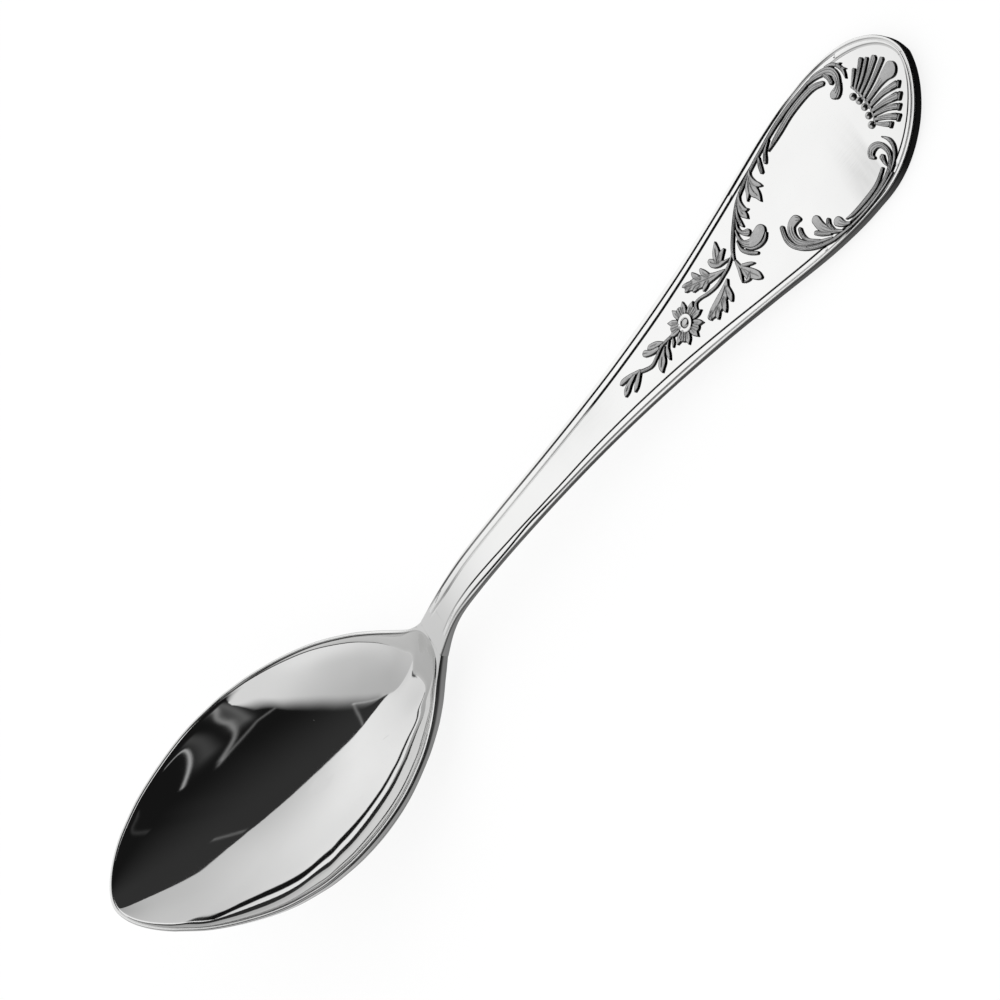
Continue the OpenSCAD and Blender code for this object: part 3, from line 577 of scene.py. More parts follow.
def build_bowl():
    rim, hollow = bowl_outlines(*BOWL_AROUND)
    inward = (hollow - rim) / np.linalg.norm(rim - hollow, axis=1, keepdims=True)
    rings = [hollow_ring(hollow, r) for r in half_turn(HOLLOW_SPAN)]
    n_hollow = len(rings)
    lip_in = below_face(hollow - inward * LIP_CORNER)
    rings += round_corner(rings[-1], below_face(hollow), lip_in, LIP_CORNER_RINGS) + [lip_in]
    rings += [below_face(hollow + s * (rim - hollow)) for s in LIP_SHARES]
    rings += [below_face(rim + inward * s) for s in EDGE_INSETS]
    top_count = len(rings)
    rings += [rings[-1]] * len(WALL_SHARES)
    low_start = len(rings)
    rings.append(belly_ring(rim, 1.0))
    for s in UNDER_INSETS:
        r = 1 - s / np.linalg.norm(rim - BOWL_MID, axis=1)
        rings.append(np.c_[rim + inward * s, belly_ring(rim, r.mean())[:, 2]])
    rings += [belly_ring(rim, r) for r in half_turn(BELLY_SPAN)]
    points = np.array(rings)
    # Round the outer edges, above and below, but not where the handle joins
    near = edge_distance(points[..., 0], points[..., 1])
    points[:top_count, :, 2] -= rounding(near[:top_count], TOP_ROUND)
    points[low_start:, :, 2] += rounding(near[low_start:], LOW_ROUND)
    high, low = points[top_count - 1, :, 2], points[low_start, :, 2]
    for k, s in enumerate(WALL_SHARES):
        points[top_count + k, :, 2] = high + s * (low - high)
    points[..., 2] = np.maximum(points[..., 2], -LIFT)
    n_rings, n_around = points.shape[:2]
    faces = grid_faces(n_rings, n_around, closed_cols=True)[:, ::-1].tolist()
    # Close the middle of the hollow and of the belly with a fan round one point each
    flat = points.reshape(-1, 3)
    middle = len(flat)
    around = np.arange(n_around)
    after = (around + 1) % n_around
    base = middle - n_around
    faces += [[a, b, middle] for a, b in zip(around, after)]
    faces += [[base + b, base + a, middle + 1] for a, b in zip(around, after)]
    flat = np.vstack([flat, flat[:n_around].mean(0), flat[-n_around:].mean(0)])
    # Painted shade of the bowl, with its darker tone at the hollow's and the belly's middle
    # points
    piece = make_piece("bowl_polished", flat, faces, SILVER, sharp=50,
        shade_and_patina=np.append(bowl_painted_shade(points, n_hollow).ravel(), [BOWL_SHADE] * 2))
    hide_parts("bowl")


# Handle

# Two engraved lines in the border, blackened where they are deep with patina and painted shade:
# [place along the spoon, first line's inset, how black it is, second line's inset, how black it
# is]
RIGHT_LINES = np.array([[70, 0.36, 0, 1.25, 0], [77, 0.36, 0.2, 1.3, 0.1],
    [81, 0.4, 0.45, 1.5, 0.5], [85, 0.52, 0.9, 1.72, 1], [90, 0.43, 1, 1.65, 1],
    [95, 0.46, 1, 1.5, 1], [101, 0.72, 1, 1.4, 1], [105, 0.6, 1, 1.35, 1],
    [110, 0.46, 0.7, 1.38, 1], [120, 0.5, 0.55, 1.65, 1], [130, 0.58, 0.55, 1.83, 1],
    [140, 0.6, 0.5, 1.85, 1], [150, 0.46, 0.25, 1.6, 1], [160, 0.38, 0.1, 1.37, 1],
    [170, 0.38, 0.1, 1.38, 1], [185, 0.46, 0.1, 1.5, 1], [192, 0.6, 0.15, 1.65, 1],
    [200, 0.7, 0.2, 1.62, 1], [203.5, 0.64, 0.2, 1.35, 0.7], [205, 0.6, 0.2, 1.2, 0.35]])
LEFT_LINES = np.array([[70, 0.36, 0, 1.4, 0], [76, 0.38, 0.3, 1.65, 0.2],
    [80, 0.43, 0.8, 1.75, 0.55], [85, 0.6, 0.8, 1.85, 0.15], [90, 0.68, 0.55, 1.9, 0.08],
    [100, 0.72, 0.65, 1.95, 0.05], [110, 0.8, 0.9, 2.0, 0.15], [120, 0.87, 1, 2.08, 0.3],
    [123, 0.9, 1, 2.12, 1], [130, 1.01, 1, 2.22, 1], [140, 1.05, 1, 2.28, 1],
    [150, 1.0, 1, 2.1, 1], [160, 0.88, 1, 1.9, 1], [170, 0.75, 1, 1.8, 1],
    [180, 0.4, 1, 1.6, 0.5], [184, 0.42, 0.3, 1.6, 0.3], [190, 0.5, 0.8, 1.7, 0.3],
    [195, 0.65, 0.3, 1.75, 0.35], [200, 0.73, 0.25, 1.65, 0.35], [205, 0.6, 0.2, 1.2, 0.35]])
LINE_HALF = 0.24
LINE_DEPTH = 0.07
# How fast the lines' patina and painted shade reach full black across a line
LINE_SHADE_SPREAD = 4
THREAD_START = BOWL_LEN + 0.2 * JOINT_W
LINES_FADE = [THREAD_START + 1, 3.0]
# Length over which the handle's sections turn from the joint's direction to the outline's
SQUARE_LEN = 6.0
# The handle's half width at its very tip, where its back closes
HANDLE_LEAST = 0.01
# The broad end leans a hair to the left
END_LEAN = 0.35
END_LEAN_FADE = [188.0, 10.0]


def border(x, side):
    """Insets of the two lines and how black they are, at places along one side."""
    lines = RIGHT_LINES if side < 0 else LEFT_LINES
    return [smooth(lines[:, [0, k]], x) if k in (1, 3) else straight(lines, x, k)
        for k in range(1, 5)]


def lean_in(points, side):
    """Unit directions inward from one side's outline."""
    lean = side * -turned(along_path(points))
    lean[-1] = [-1.0, 0.0]
    return lean


def bent(points):
    """Lean the broad end to the left."""
    points[..., 1] += END_LEAN * fade(points[..., 0], *END_LEAN_FADE)
    return points


def crown(x, y):
    """Depth of the handle's back below its face."""
    w = np.maximum(handle_half(x), HANDLE_LEAST)
    e = straight(EDGE_T, x) + shoulder(x)
    m = np.maximum(straight(MID_T, x), e)
    return e + (m - e) * unit(1 - (y / w) ** 2)


def build_handle():
    x = handle_stations(*HANDLE_ROWS)
    groove = unit(1 - np.abs(LINE_COLUMNS))
    # Patina and painted shade in the lines, and painted shade along the outer edge
    groove_shade = unit(LINE_SHADE_SPREAD * groove)
    rim_shade = RIM_SHADE * (EDGE_COLUMNS < RIM_SHADE_W)

    def columns(*parts):
        """The parts beside each other, each for all sections alike or with its own values."""
        return np.concatenate([np.zeros((len(x), 1)) + part for part in parts], 1)

    sides = []
    for side in (-1, 1):
        edge = np.stack([x, side * handle_half(x)], 1)
        turn = fade(x, BOWL_LEN, SQUARE_LEN)[:, None]
        lean = (1 - turn) * np.array([0.0, -side]) + turn * lean_in(edge, side)
        first, first_black, second, second_black = [row[:, None] for row in border(x, side)]
        across = LINE_HALF * LINE_COLUMNS
        inset = columns(EDGE_COLUMNS, first + across, (first + second) / 2, second + across,
            second + FIELD_EDGE)
        deep = columns(0 * EDGE_COLUMNS, groove, 0, groove, 0) * fade(x, *LINES_FADE)[:, None]
        dark = columns(rim_shade, first_black * groove_shade, 0, second_black * groove_shade, 0)
        sides.append((edge[:, None, :] + lean[:, None, :] * inset[..., None], deep, dark))
    right, left = sides
    share = np.linspace(0, 1, FIELD_COLUMNS + 2)[1:-1, None]
    field = right[0][:, -1:] * (1 - share) + left[0][:, -1:] * share
    plain = np.zeros(field.shape[:2])
    grid, deep, dark = [np.concatenate([a, b, c[:, ::-1]], 1)
        for a, b, c in zip(right, (field, plain, plain), left)]
    near = edge_distance(grid[..., 0], grid[..., 1])
    z = face_height(grid[..., 0])
    top = z - rounding(near, TOP_ROUND) - LINE_DEPTH * deep
    low = z - crown(grid[..., 0], grid[..., 1]) + rounding(near, LOW_ROUND)
    low = np.maximum(low, -LIFT)
    # One closed strip for each section: over the face, down the side and back underneath
    wall = np.linspace(0, 1, WALL_COLUMNS + 2)[1:-1]
    down = [np.c_[grid[:, -1], top[:, -1] + s * (low[:, -1] - top[:, -1])] for s in wall]
    up = [np.c_[grid[:, 0], low[:, 0] + s * (top[:, 0] - low[:, 0])] for s in wall]
    sections = bent(np.concatenate([np.dstack([grid, top]), np.stack(down, 1),
        np.dstack([grid, low])[:, ::-1], np.stack(up, 1)], 1))
    # Painted shade: a darker tone on the neck by the bowl, taken where it is more than the lines'
    # and edge's black
    greying = NECK_SHADE * (1 - fade(x, *NECK_SHADE_FADE))
    shade_and_patina = np.zeros(sections.shape[:2])
    shade_and_patina[:, :grid.shape[1]] = np.maximum(dark, greying[:, None])
    piece = make_piece("handle_polished", sections.reshape(-1, 3), tube_faces(*shade_and_patina.shape),
        SILVER, sharp=50, shade_and_patina=shade_and_patina.ravel())
    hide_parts("handle")


build_bowl()
build_handle()


# Threads of the border: their height and how deep they sink where they end, the shoulder's
# width, its most as a share of the half width, and its columns, the gap to a line in its half
# widths, and how the tapers narrow them

THREAD_TOP = 0.14
THREAD_SUNK = 0.03
THREAD_FOOT = 0.1
THREAD_EDGE = 0.35
SHOULDER = 0.07
SHOULDER_MOST = 0.8
SHOULDER_SHARES = np.array([0, 0.17, 0.4, 0.7, 1])
THREAD_GAP = 0.7
OUTER_INSET = 0.07
TAPER_W = 0.3
MIN_HALF = 0.02
NECK_TAPER = 8.0
END_TAPER = 1.2
# Painted shade across a thread, black at its feet beside a blackened line
FOOT_SHADE = np.array([1, 0.9, 0.3, 0, 0, 0, 0, 0, 0, 0, 0])
# Where the inner thread gives way to the scrolls, left and right, and where it starts again
INNER_STOPS = [16.5, 17.35]
INNER_STARTS = [19.36, 19.1]


def thread_side(name, side, x0, x1):
    """Middle of a thread between its two lines, its half width, and how much painted shade its
    two feet get, along one side."""
    x = handle_stations(*THREAD_ROWS)
    x = np.concatenate([[x0], x[(x > x0) & (x < x1)], [x1]])
    edge = np.stack([x, side * handle_half(x)], 1)
    lean = lean_in(edge, side) if x1 >= OVERALL_LEN else side * -turned(along_path(edge))
    first, first_black, second, second_black = border(x, side)
    gap = THREAD_GAP * LINE_HALF
    if name == "edge":
        a, b, outer, inner = OUTER_INSET + 0 * x, first - gap, 0 * x, first_black
    else:
        a, b, outer, inner = first + gap, second - gap, first_black, second_black
    black = np.stack([inner, outer] if side > 0 else [outer, inner], 1)
    return edge + lean * ((a + b) / 2)[:, None], (b - a) / 2, black


def joined(a, b):
    """One course over the handle's end, up the left side and down the right."""
    return (np.vstack([a[0][:-1], b[0][::-1]]), np.concatenate([a[1][:-1], b[1][::-1]]),
        np.vstack([a[2][:-1], b[2][::-1, ::-1]]))


def build_thread(name, course, tapers):
    """A flat-topped wire with soft shoulders along its course, which sinks into the face
    over the tapers' lengths at its two ends."""
    path, half, black = course
    gone = np.concatenate([[0], np.cumsum(np.linalg.norm(np.diff(path, axis=0), axis=1))])
    out = step(gone / tapers[0]) * step((gone[-1] - gone) / tapers[1])
    half = np.maximum(half * (TAPER_W + (1 - TAPER_W) * out), MIN_HALF)[:, None]
    s = SHOULDER_SHARES * np.minimum(SHOULDER, SHOULDER_MOST * half)
    s = np.concatenate([s, half, 2 * half - s[:, ::-1]], 1)
    inside = unit(np.minimum(s, 2 * half - s) / SHOULDER)
    swell = THREAD_EDGE + (1 - THREAD_EDGE) * np.sqrt(unit(1 - (1 - inside) ** 2))
    rise = (THREAD_TOP * swell + THREAD_SUNK) * out[:, None] - THREAD_SUNK
    q = path[:, None, :] + turned(along_path(path))[:, None, :] * (s - half)[..., None]
    base = face_height(q[..., 0])
    foot = np.dstack([q[:, [-1, 0]], base[:, [-1, 0]] - THREAD_FOOT])
    rows = bent(np.concatenate([np.dstack([q, base + rise]), foot], 1))
    # Painted shade on the thread's feet and walls, fading where the thread sinks
    shade_and_patina = black[:, :1] * FOOT_SHADE + black[:, 1:] * FOOT_SHADE[::-1]
    shade_and_patina = np.concatenate([shade_and_patina, black[:, ::-1]], 1) * out[:, None]
    piece = make_piece(name + "_polished", rows.reshape(-1, 3), tube_faces(*shade_and_patina.shape), SILVER,
        sharp=40, shade_and_patina=shade_and_patina.ravel())
    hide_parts(name)


def inner(side, x0, x1):
    return thread_side("inner", side, x0, x1)


build_thread("edge_thread", joined(thread_side("edge", 1, THREAD_START, OVERALL_LEN),
    thread_side("edge", -1, THREAD_START, OVERALL_LEN)), (NECK_TAPER, NECK_TAPER))
build_thread("inner_thread_left", inner(1, THREAD_START, along(INNER_STOPS[0])),
    (NECK_TAPER, END_TAPER))
build_thread("inner_thread_right", inner(-1, THREAD_START, along(INNER_STOPS[1])),
    (NECK_TAPER, END_TAPER))
build_thread("inner_thread_end", joined(inner(1, along(INNER_STARTS[0]), OVERALL_LEN),
    inner(-1, along(INNER_STARTS[1]), OVERALL_LEN)), (END_TAPER, END_TAPER))


# Relief: strokes as [along, across, half width] in hundredths of the motif

STROKES = {
"shell": [
    [[1932, 46, 2.2], [1943, 55, 3], [1953, 63.5, 3.4]],
    [[1934, 38.5, 2.4], [1955, 51, 3.4], [1974, 63.5, 4.6]],
    [[1934, 31.5, 2], [1959, 41.5, 3], [1984, 54.5, 3.4]],
    [[1935, 23.5, 2.4], [1963, 31, 3.8], [1995, 42.5, 6]],
    [[1936, 14, 2.4], [1970, 19.5, 3.4], [2006, 27.5, 4.5]],
    [[1936, 4, 3], [1970, 4.5, 5], [1993, 4, 9.5], [2008, 1, 14]],
    [[1936, -6, 2.8], [1970, -11.5, 4.5], [2000, -25, 6.2]],
    [[1935, -15, 2.8], [1963, -25, 4.8], [1988, -39, 7]],
    [[1933, -23, 2.5], [1959, -35.5, 4.4], [1977, -51, 5.6]],
    [[1930, -29.5, 2.5], [1950, -45, 4.5], [1965, -61, 6]],
    [[1928, -36, 2.5], [1938, -49, 3.8], [1946, -58, 4.8]],
    [[2001, -31, 3], [2007, -27, 3.5]],
    [[1989, -46, 3.5], [1996, -42, 4]],
    [[1977, -57, 3], [1983, -54, 3.5]],
    [[1964, -68, 3.2], [1971, -65, 3.6]],
    [[1946, -64, 2.8], [1951, -61, 3.2]],
    [[1932, 47, 2], [1937, 20, 2.4], [1937, -10, 2.4], [1928, -37, 2]]],
"left_scroll": [
    [[1747, 95.5, 1], [1764, 100, 4], [1785, 104.5, 5.5], [1815, 110.5, 6], [1850, 111.5, 6],
        [1875, 108, 5.5], [1893, 98.5, 4.5]]],
"left_scroll_curl": [
    [[1872, 121.5, 3], [1887, 119, 5], [1901, 113.5, 6.2], [1913, 106, 7], [1920, 96, 6.8],
        [1921, 84, 6], [1916.5, 73.5, 5.2], [1909, 68, 6], [1899, 65.5, 8.3]],
    [[1905, 107, 4], [1908, 95, 4.2], [1907, 85, 4.2]],
    [[1914, 114, 2], [1925, 108, 3], [1933, 98, 3.4], [1936.5, 86, 3.4], [1936, 76, 2.8],
        [1933, 67, 1.2]],
    [[1933, 98, 3], [1941, 94, 1.2]],
    [[1937, 86, 3], [1942.5, 79, 1.2]],
    [[1920, 70, 1.2], [1912, 61, 2.2], [1903, 56.5, 2.4], [1897, 57, 1]]],
"vine_stem": [
    [[1587, 6, 2], [1593, 20, 3.2], [1608, 39, 3.5], [1630, 62, 3.5], [1652, 80, 3.5],
        [1680, 92.5, 3.5], [1710, 102.5, 3.5], [1740, 110, 3.5], [1780, 118.5, 4],
        [1820, 122.5, 4], [1860, 122.5, 3.5], [1874, 122.5, 3]]],
"vine_leaf_1": [
    [[1758, 110, 1.5], [1742, 101, 3], [1734, 91, 4], [1731, 86, 3]]],
"vine_leaf_2": [
    [[1726, 102, 2], [1720, 91, 4], [1716, 79, 3.5]]],
"vine_leaf_3": [
    [[1700, 100, 2], [1694, 92, 3.5], [1693.5, 78, 5], [1698, 68, 4.2], [1702, 61.5, 1.5]],
    [[1693, 90, 3], [1687, 78, 7], [1685, 66, 9], [1686.5, 55, 6], [1685.5, 42, 1.2]],
    [[1693, 93, 2], [1681, 82, 4.5], [1674, 71, 4], [1666, 63, 1.2]]],
"vine_leaf_4": [
    [[1662, 87, 2], [1653, 76, 4], [1650, 63, 6], [1654, 55, 3.5], [1659, 52, 1.2]],
    [[1653, 78, 3], [1648.5, 68, 4.5], [1646.5, 55, 6], [1648, 48, 5], [1649, 40, 1.2]]],
"vine_leaf_5": [
    [[1644, 72, 2], [1636, 58, 3], [1633.5, 45, 3.5], [1634, 37, 2]]],
"vine_leaf_6": [
    [[1631, 56, 1.5], [1624, 42, 2.5], [1626, 30, 3.6], [1634, 22, 6.5]]],
"left_acanthus": [
    [[1619, 42, 2], [1615.5, 28, 3], [1618, 14, 4.5], [1630, 2, 8.5], [1642, 1.5, 12.5],
        [1653, 4.5, 12]],
    [[1610, 26, 1.5], [1608, 9, 3], [1614, -4, 3.8], [1622, -14, 3.6], [1628, -20, 3]],
    [[1613, 12, 1.5], [1623, -5, 2.5], [1638, -13.5, 3], [1652, -13.5, 3], [1661, -7, 1.8]]],
"right_scroll": [
    [[1789, -110, 1.5], [1805, -114, 3.5], [1835, -115, 4.2], [1865, -112.5, 4],
        [1890, -101.5, 3]]],
"right_outer_band": [
    [[1750, -119, 2], [1790, -126.5, 2.5], [1830, -129, 2.5], [1870, -127, 2.5],
        [1900, -122, 2]]],
"right_scroll_curl": [
    [[1792, -120, 1.2], [1820, -123.5, 3], [1855, -123.5, 3.5], [1885, -118, 4],
        [1906, -108, 4.2], [1916, -93, 4.2], [1915, -76, 4.5], [1908, -65, 5.5],
        [1896, -61.5, 7.5], [1888, -68, 5.5], [1890, -76, 2.5]],
    [[1898, -119, 1.5], [1917, -109, 2.8], [1929, -93, 3.4], [1930, -76, 3.2], [1923, -62, 1.2]],
    [[1901, -108, 1], [1900, -98, 2.8], [1902, -87, 5]]],
"right_acanthus": [
    [[1790, -127.5, 2], [1750, -117, 3.5], [1720, -102, 4], [1698, -83, 4.2], [1686, -64, 4.5],
        [1683, -45, 4.5], [1688, -25, 4.2]],
    [[1750, -113, 2], [1720, -93, 3.5], [1700, -72, 5.5], [1696, -53, 6.5], [1702, -38, 7.5],
        [1714, -34, 8.5], [1722, -40, 3.5]],
    [[1730, -98, 2], [1714, -80, 3], [1710, -65, 4], [1712.5, -54, 3.8]]],
"right_lobed_leaf": [
    [[1772, -120, 2], [1756, -103, 5], [1746, -84, 7.5], [1744.5, -66, 8]],
    [[1752, -105, 3], [1739, -92, 4.2], [1732, -83, 4.2]],
    [[1760, -106, 3], [1758, -92, 4.2], [1762, -84, 3.6]]],
"right_bulb": [
    [[1790, -121, 2], [1780, -112, 5], [1774.5, -101, 8.5]]],
"sprig_stem": [
    [[1592, 18, 2], [1572, 7, 3], [1555, 2.5, 3], [1535, -1, 3], [1515, 2, 3], [1500, 7, 2.8],
        [1489, 8, 3], [1483, 1, 3], [1482, -8, 2]]],
"sprig_leaf": [
    [[1582, 15, 1.5], [1570, 19, 3], [1560, 25, 6], [1553, 33, 7.5], [1550, 41, 4.5]],
    [[1560, 28, 6], [1567, 42, 7.5], [1574, 54, 3.5], [1577, 59.5, 1]],
    [[1562, 26, 6], [1573, 33, 5.2], [1582, 36, 2.5]]],
"bell_flower": [
    [[1588, 3, 2], [1590, -13, 3], [1597, -33, 8], [1604, -47, 8], [1608.5, -57, 3.5]],
    [[1587, 0, 2], [1585, -13, 3], [1581, -25, 3], [1577, -36, 1.5]],
    [[1592, -12, 2.5], [1601, -19, 3.5], [1608, -24, 3], [1613, -28, 1.5]],
    [[1598, -36, 4], [1590, -41, 3.5], [1580, -39, 1.5]],
    [[1590, -18, 3], [1590, -28, 4.5], [1589, -36, 4]]],
"oak_leaf": [
    [[1563, 7.5, 2], [1542, 15.5, 6], [1522, 25, 10.5], [1505, 34, 10.5], [1492, 41, 7]],
    [[1532, 24, 6], [1529, 36, 5.5], [1528, 44, 3]],
    [[1517, 33, 6], [1513, 45, 5], [1512, 52, 2.5]],
    [[1500, 40, 6], [1490, 46, 4.5], [1485, 49, 2]],
    [[1498, 37, 5], [1488, 38, 4], [1484, 38, 2]],
    [[1512, 27, 6], [1502, 27, 4.5], [1496, 26, 2]],
    [[1528, 19, 5], [1518, 15, 4.5], [1512, 12, 2.2]]],
"long_leaf": [
    [[1557, -9, 2], [1542, -20, 8], [1525, -28, 11.5], [1508, -31.5, 10], [1495, -33, 5.5]],
    [[1548, -20, 5], [1546, -34, 5.5], [1543, -43, 2.8]],
    [[1532, -30, 6], [1526, -42, 5], [1523, -49, 2]],
    [[1515, -33, 6], [1508, -42, 4.5], [1505, -47, 2]],
    [[1502, -31, 5], [1495, -35, 4], [1493, -37, 2]]],
"lower_stem": [
    [[1422, 0, 3], [1405, 2, 3], [1392, 2, 3], [1375, -5, 3], [1360, -9.5, 3.2], [1346, -5, 3.4],
        [1332, 3, 3.4]],
    [[1420, -3, 1.2], [1415, -11, 3], [1410, -17, 1.2]]],
"lower_leaf_left": [
    [[1399, 5, 2], [1388, 12, 5.5], [1377, 17, 5.5], [1373, 18.5, 3.5]],
    [[1386, 4, 3.5], [1372, 9, 4.8], [1362, 16.5, 6.2]]],
"lower_leaf_right": [
    [[1410, -2, 1.5], [1401, -9, 3], [1396, -19, 4], [1393, -28.5, 1.5]],
    [[1398, -4, 1.5], [1387, -12, 4.5], [1379, -20, 7.8], [1373, -26.5, 5.8],
        [1369, -34.5, 1.2]]],
"end_leaf": [
    [[1336, 2, 3], [1316, 9.5, 4], [1301, 12.5, 4.8], [1295, 12, 3]],
    [[1324, 4, 3], [1308, 0, 5], [1297, -5.5, 6], [1290, -11, 2]],
    [[1335, 0, 3], [1323, -8.5, 4.8], [1315, -14.5, 4.3], [1309, -18.5, 2]]],
}
STROKES = {name: [np.array(stroke) / 100 for stroke in strokes]
    for name, strokes in STROKES.items()}

STEMS = ["left_scroll", "right_scroll", "right_outer_band", "vine_stem", "sprig_stem",
    "lower_stem"]
LEAVES = ["sprig_leaf", "bell_flower", "oak_leaf", "long_leaf", "lower_leaf_left",
    "lower_leaf_right", "end_leaf", "blossom", "vine_leaf_3", "vine_leaf_4"]

BLOSSOM_AT = [14.52, -0.035]
PETALS = 5
PETAL_TURN = 10.0
LOBE_TURN = 19.0
PETAL = [[0.14, 0.07], [0.2, 0.09], [0.25, 0.068]]
LOBE = [[0.2, 0.058], [0.27, 0.056], [0.32, 0.034], [0.37, 0.01]]


def blossom_strokes():
    """Each petal is a body and two pointed tips, beside each other."""
    strokes = []
    for k in range(PETALS):
        for side, course in ((0, PETAL), (-1, LOBE), (1, LOBE)):
            a = math.radians(PETAL_TURN + 360 * k / PETALS + side * LOBE_TURN)
            strokes.append([[BLOSSOM_AT[0] + reach * math.cos(a),
                BLOSSOM_AT[1] + reach * math.sin(a), w] for reach, w in course])
    return strokes


STROKES["blossom"] = blossom_strokes()


def through(points, steps):
    """Smooth curve through the points, each span in so many steps."""
    p = np.asarray(points, float)
    out = []
    for i in range(len(p) - 1):
        a, b, c, d = p[max(i - 1, 0)], p[i], p[i + 1], p[min(i + 2, len(p) - 1)]
        for t in np.arange(steps) / steps:
            out.append((2 * b + (c - a) * t + (2 * a - 5 * b + 4 * c - d) * t**2
                + (3 * b - a - 3 * c + d) * t**3) / 2)
    return np.array(out + [p[-1]])


# Steps of a stroke's curve between two points, its least half width in motifs, and how far
# outside it the count starts
STROKE_STEPS = 8
STROKE_LEAST = 0.006
FAR_OUTSIDE = -9.0


def stroke_field(stroke, X, Y):
    """How deep each point lies inside a stroke, in millimetres, and the stroke's own half
    width and signed place across it there."""
    c = through(stroke, STROKE_STEPS)
    q = np.stack([along(c[:, 0]), c[:, 1] * MOTIF], 1)
    w = np.maximum(c[:, 2], STROKE_LEAST) * MOTIF
    best = np.full(X.shape, FAR_OUTSIDE)
    width = np.full(X.shape, w[0])
    across = np.zeros(X.shape)
    for i in range(len(q) - 1):
        ax, ay = q[i]
        dx, dy = q[i + 1] - q[i]
        length2 = dx * dx + dy * dy + 1e-12
        t = unit(((X - ax) * dx + (Y - ay) * dy) / length2)
        px, py = X - ax - t * dx, Y - ay - t * dy
        ww = w[i] + t * (w[i + 1] - w[i])
        f = ww - np.hypot(px, py)
        better = f > best
        best = np.where(better, f, best)
        width = np.where(better, ww, width)
        across = np.where(better, (dx * py - dy * px) / math.sqrt(length2), across)
    return best, width, across


# Heights of the scrolls and of the rest, the mesh's cells, margin and seat in the face
SCROLL_H = 0.3
LEAF_H = 0.34
CELL = 0.07
MARGIN = 0.5
SNAP = 0.75
SEAT = 0.06
# A lobe's section: the share of its height that stands upright, then a rounded edge, of which
# a share is the shoulder and the rest a slow dome with a least half width, and how far outside
# the stroke the lobe still counts
WALL_SHARE = 0.72
EDGE_SOFT = 0.13
EDGE_SHARE = 0.7
DOME_LEAST = 0.05
LOBE_OUT = 0.02
# Cuts: creases between lobes, which fade up the dome, and a leaf's midrib or a scroll's twin
# lines, which run only where the stroke is wide enough for them
CREASE_W = 0.07
CREASE_DEPTH = 0.12
CREASE_FADE = 0.55
LINE_CUT = 0.1
# The lines and creases are blackened with patina and painted shade
LINE_BLACK = 0.7
MIDRIB_W = 0.13
MIDRIB_FADE = [0.5, 0.1]
TWIN_W = 0.08
TWIN_PLACE = 0.36
TWIN_FADE = [0.26, 0.1]
TWIN_END = 0.8
# Painted shade: a black outline and near black walls, the outline narrower between the shell's
# flutes and wider over their ends on the right, where their ends are painted dark
OUTLINE = 0.17
OUTLINE_HARD = 1.7
WALL_BLACK = 0.9
FLUTE_OUTLINE = 0.1
CAP_OUTLINE = 0.3
CAP_FADE = [0.57, 0.08]
CAP_SIDE = 0.25
SHELL_FOOT = 19.3


def outline_width(name, X, Y):
    if name != "shell":
        return OUTLINE
    reach = np.hypot(X - along(SHELL_FOOT), Y) / MOTIF
    # Painted shade over the right ends of the flutes
    cap = fade(reach, *CAP_FADE) * step(-Y / (CAP_SIDE * MOTIF))
    return FLUTE_OUTLINE + (CAP_OUTLINE - FLUTE_OUTLINE) * cap


def lobe(field, leaf):
    """One stroke's height as a share of the relief's, and how deep its chased lines are."""
    f, w, a = field
    depth = np.clip(f, 0, None)
    edge = np.sqrt(unit(1 - (1 - unit(depth / EDGE_SOFT)) ** 2))
    dome = unit(depth / np.maximum(w, DOME_LEAST))
    top = WALL_SHARE + (1 - WALL_SHARE) * (EDGE_SHARE * edge + (1 - EDGE_SHARE) * dome)
    if leaf:
        line = unit(1 - np.abs(a) / MIDRIB_W)
        line = line * unit((w - MIDRIB_FADE[0]) / MIDRIB_FADE[1])
    else:
        line = unit(1 - np.abs(np.abs(a) - TWIN_PLACE * w) / TWIN_W)
        line = line * unit((w - TWIN_FADE[0]) / TWIN_FADE[1])
        line = line * unit((TWIN_END - w) / TWIN_FADE[1])
    return np.where(f > -LOBE_OUT, top, 0), np.where(f > 0, line, 0)


def open_edges(quads):
    """Edges that only one quad has, each in that quad's own direction."""
    edges = {}
    for quad in quads:
        for a, b in zip(quad, quad[1:] + quad[:1]):
            if (b, a) in edges:
                del edges[(b, a)]
            else:
                edges[(a, b)] = True
    return list(edges)


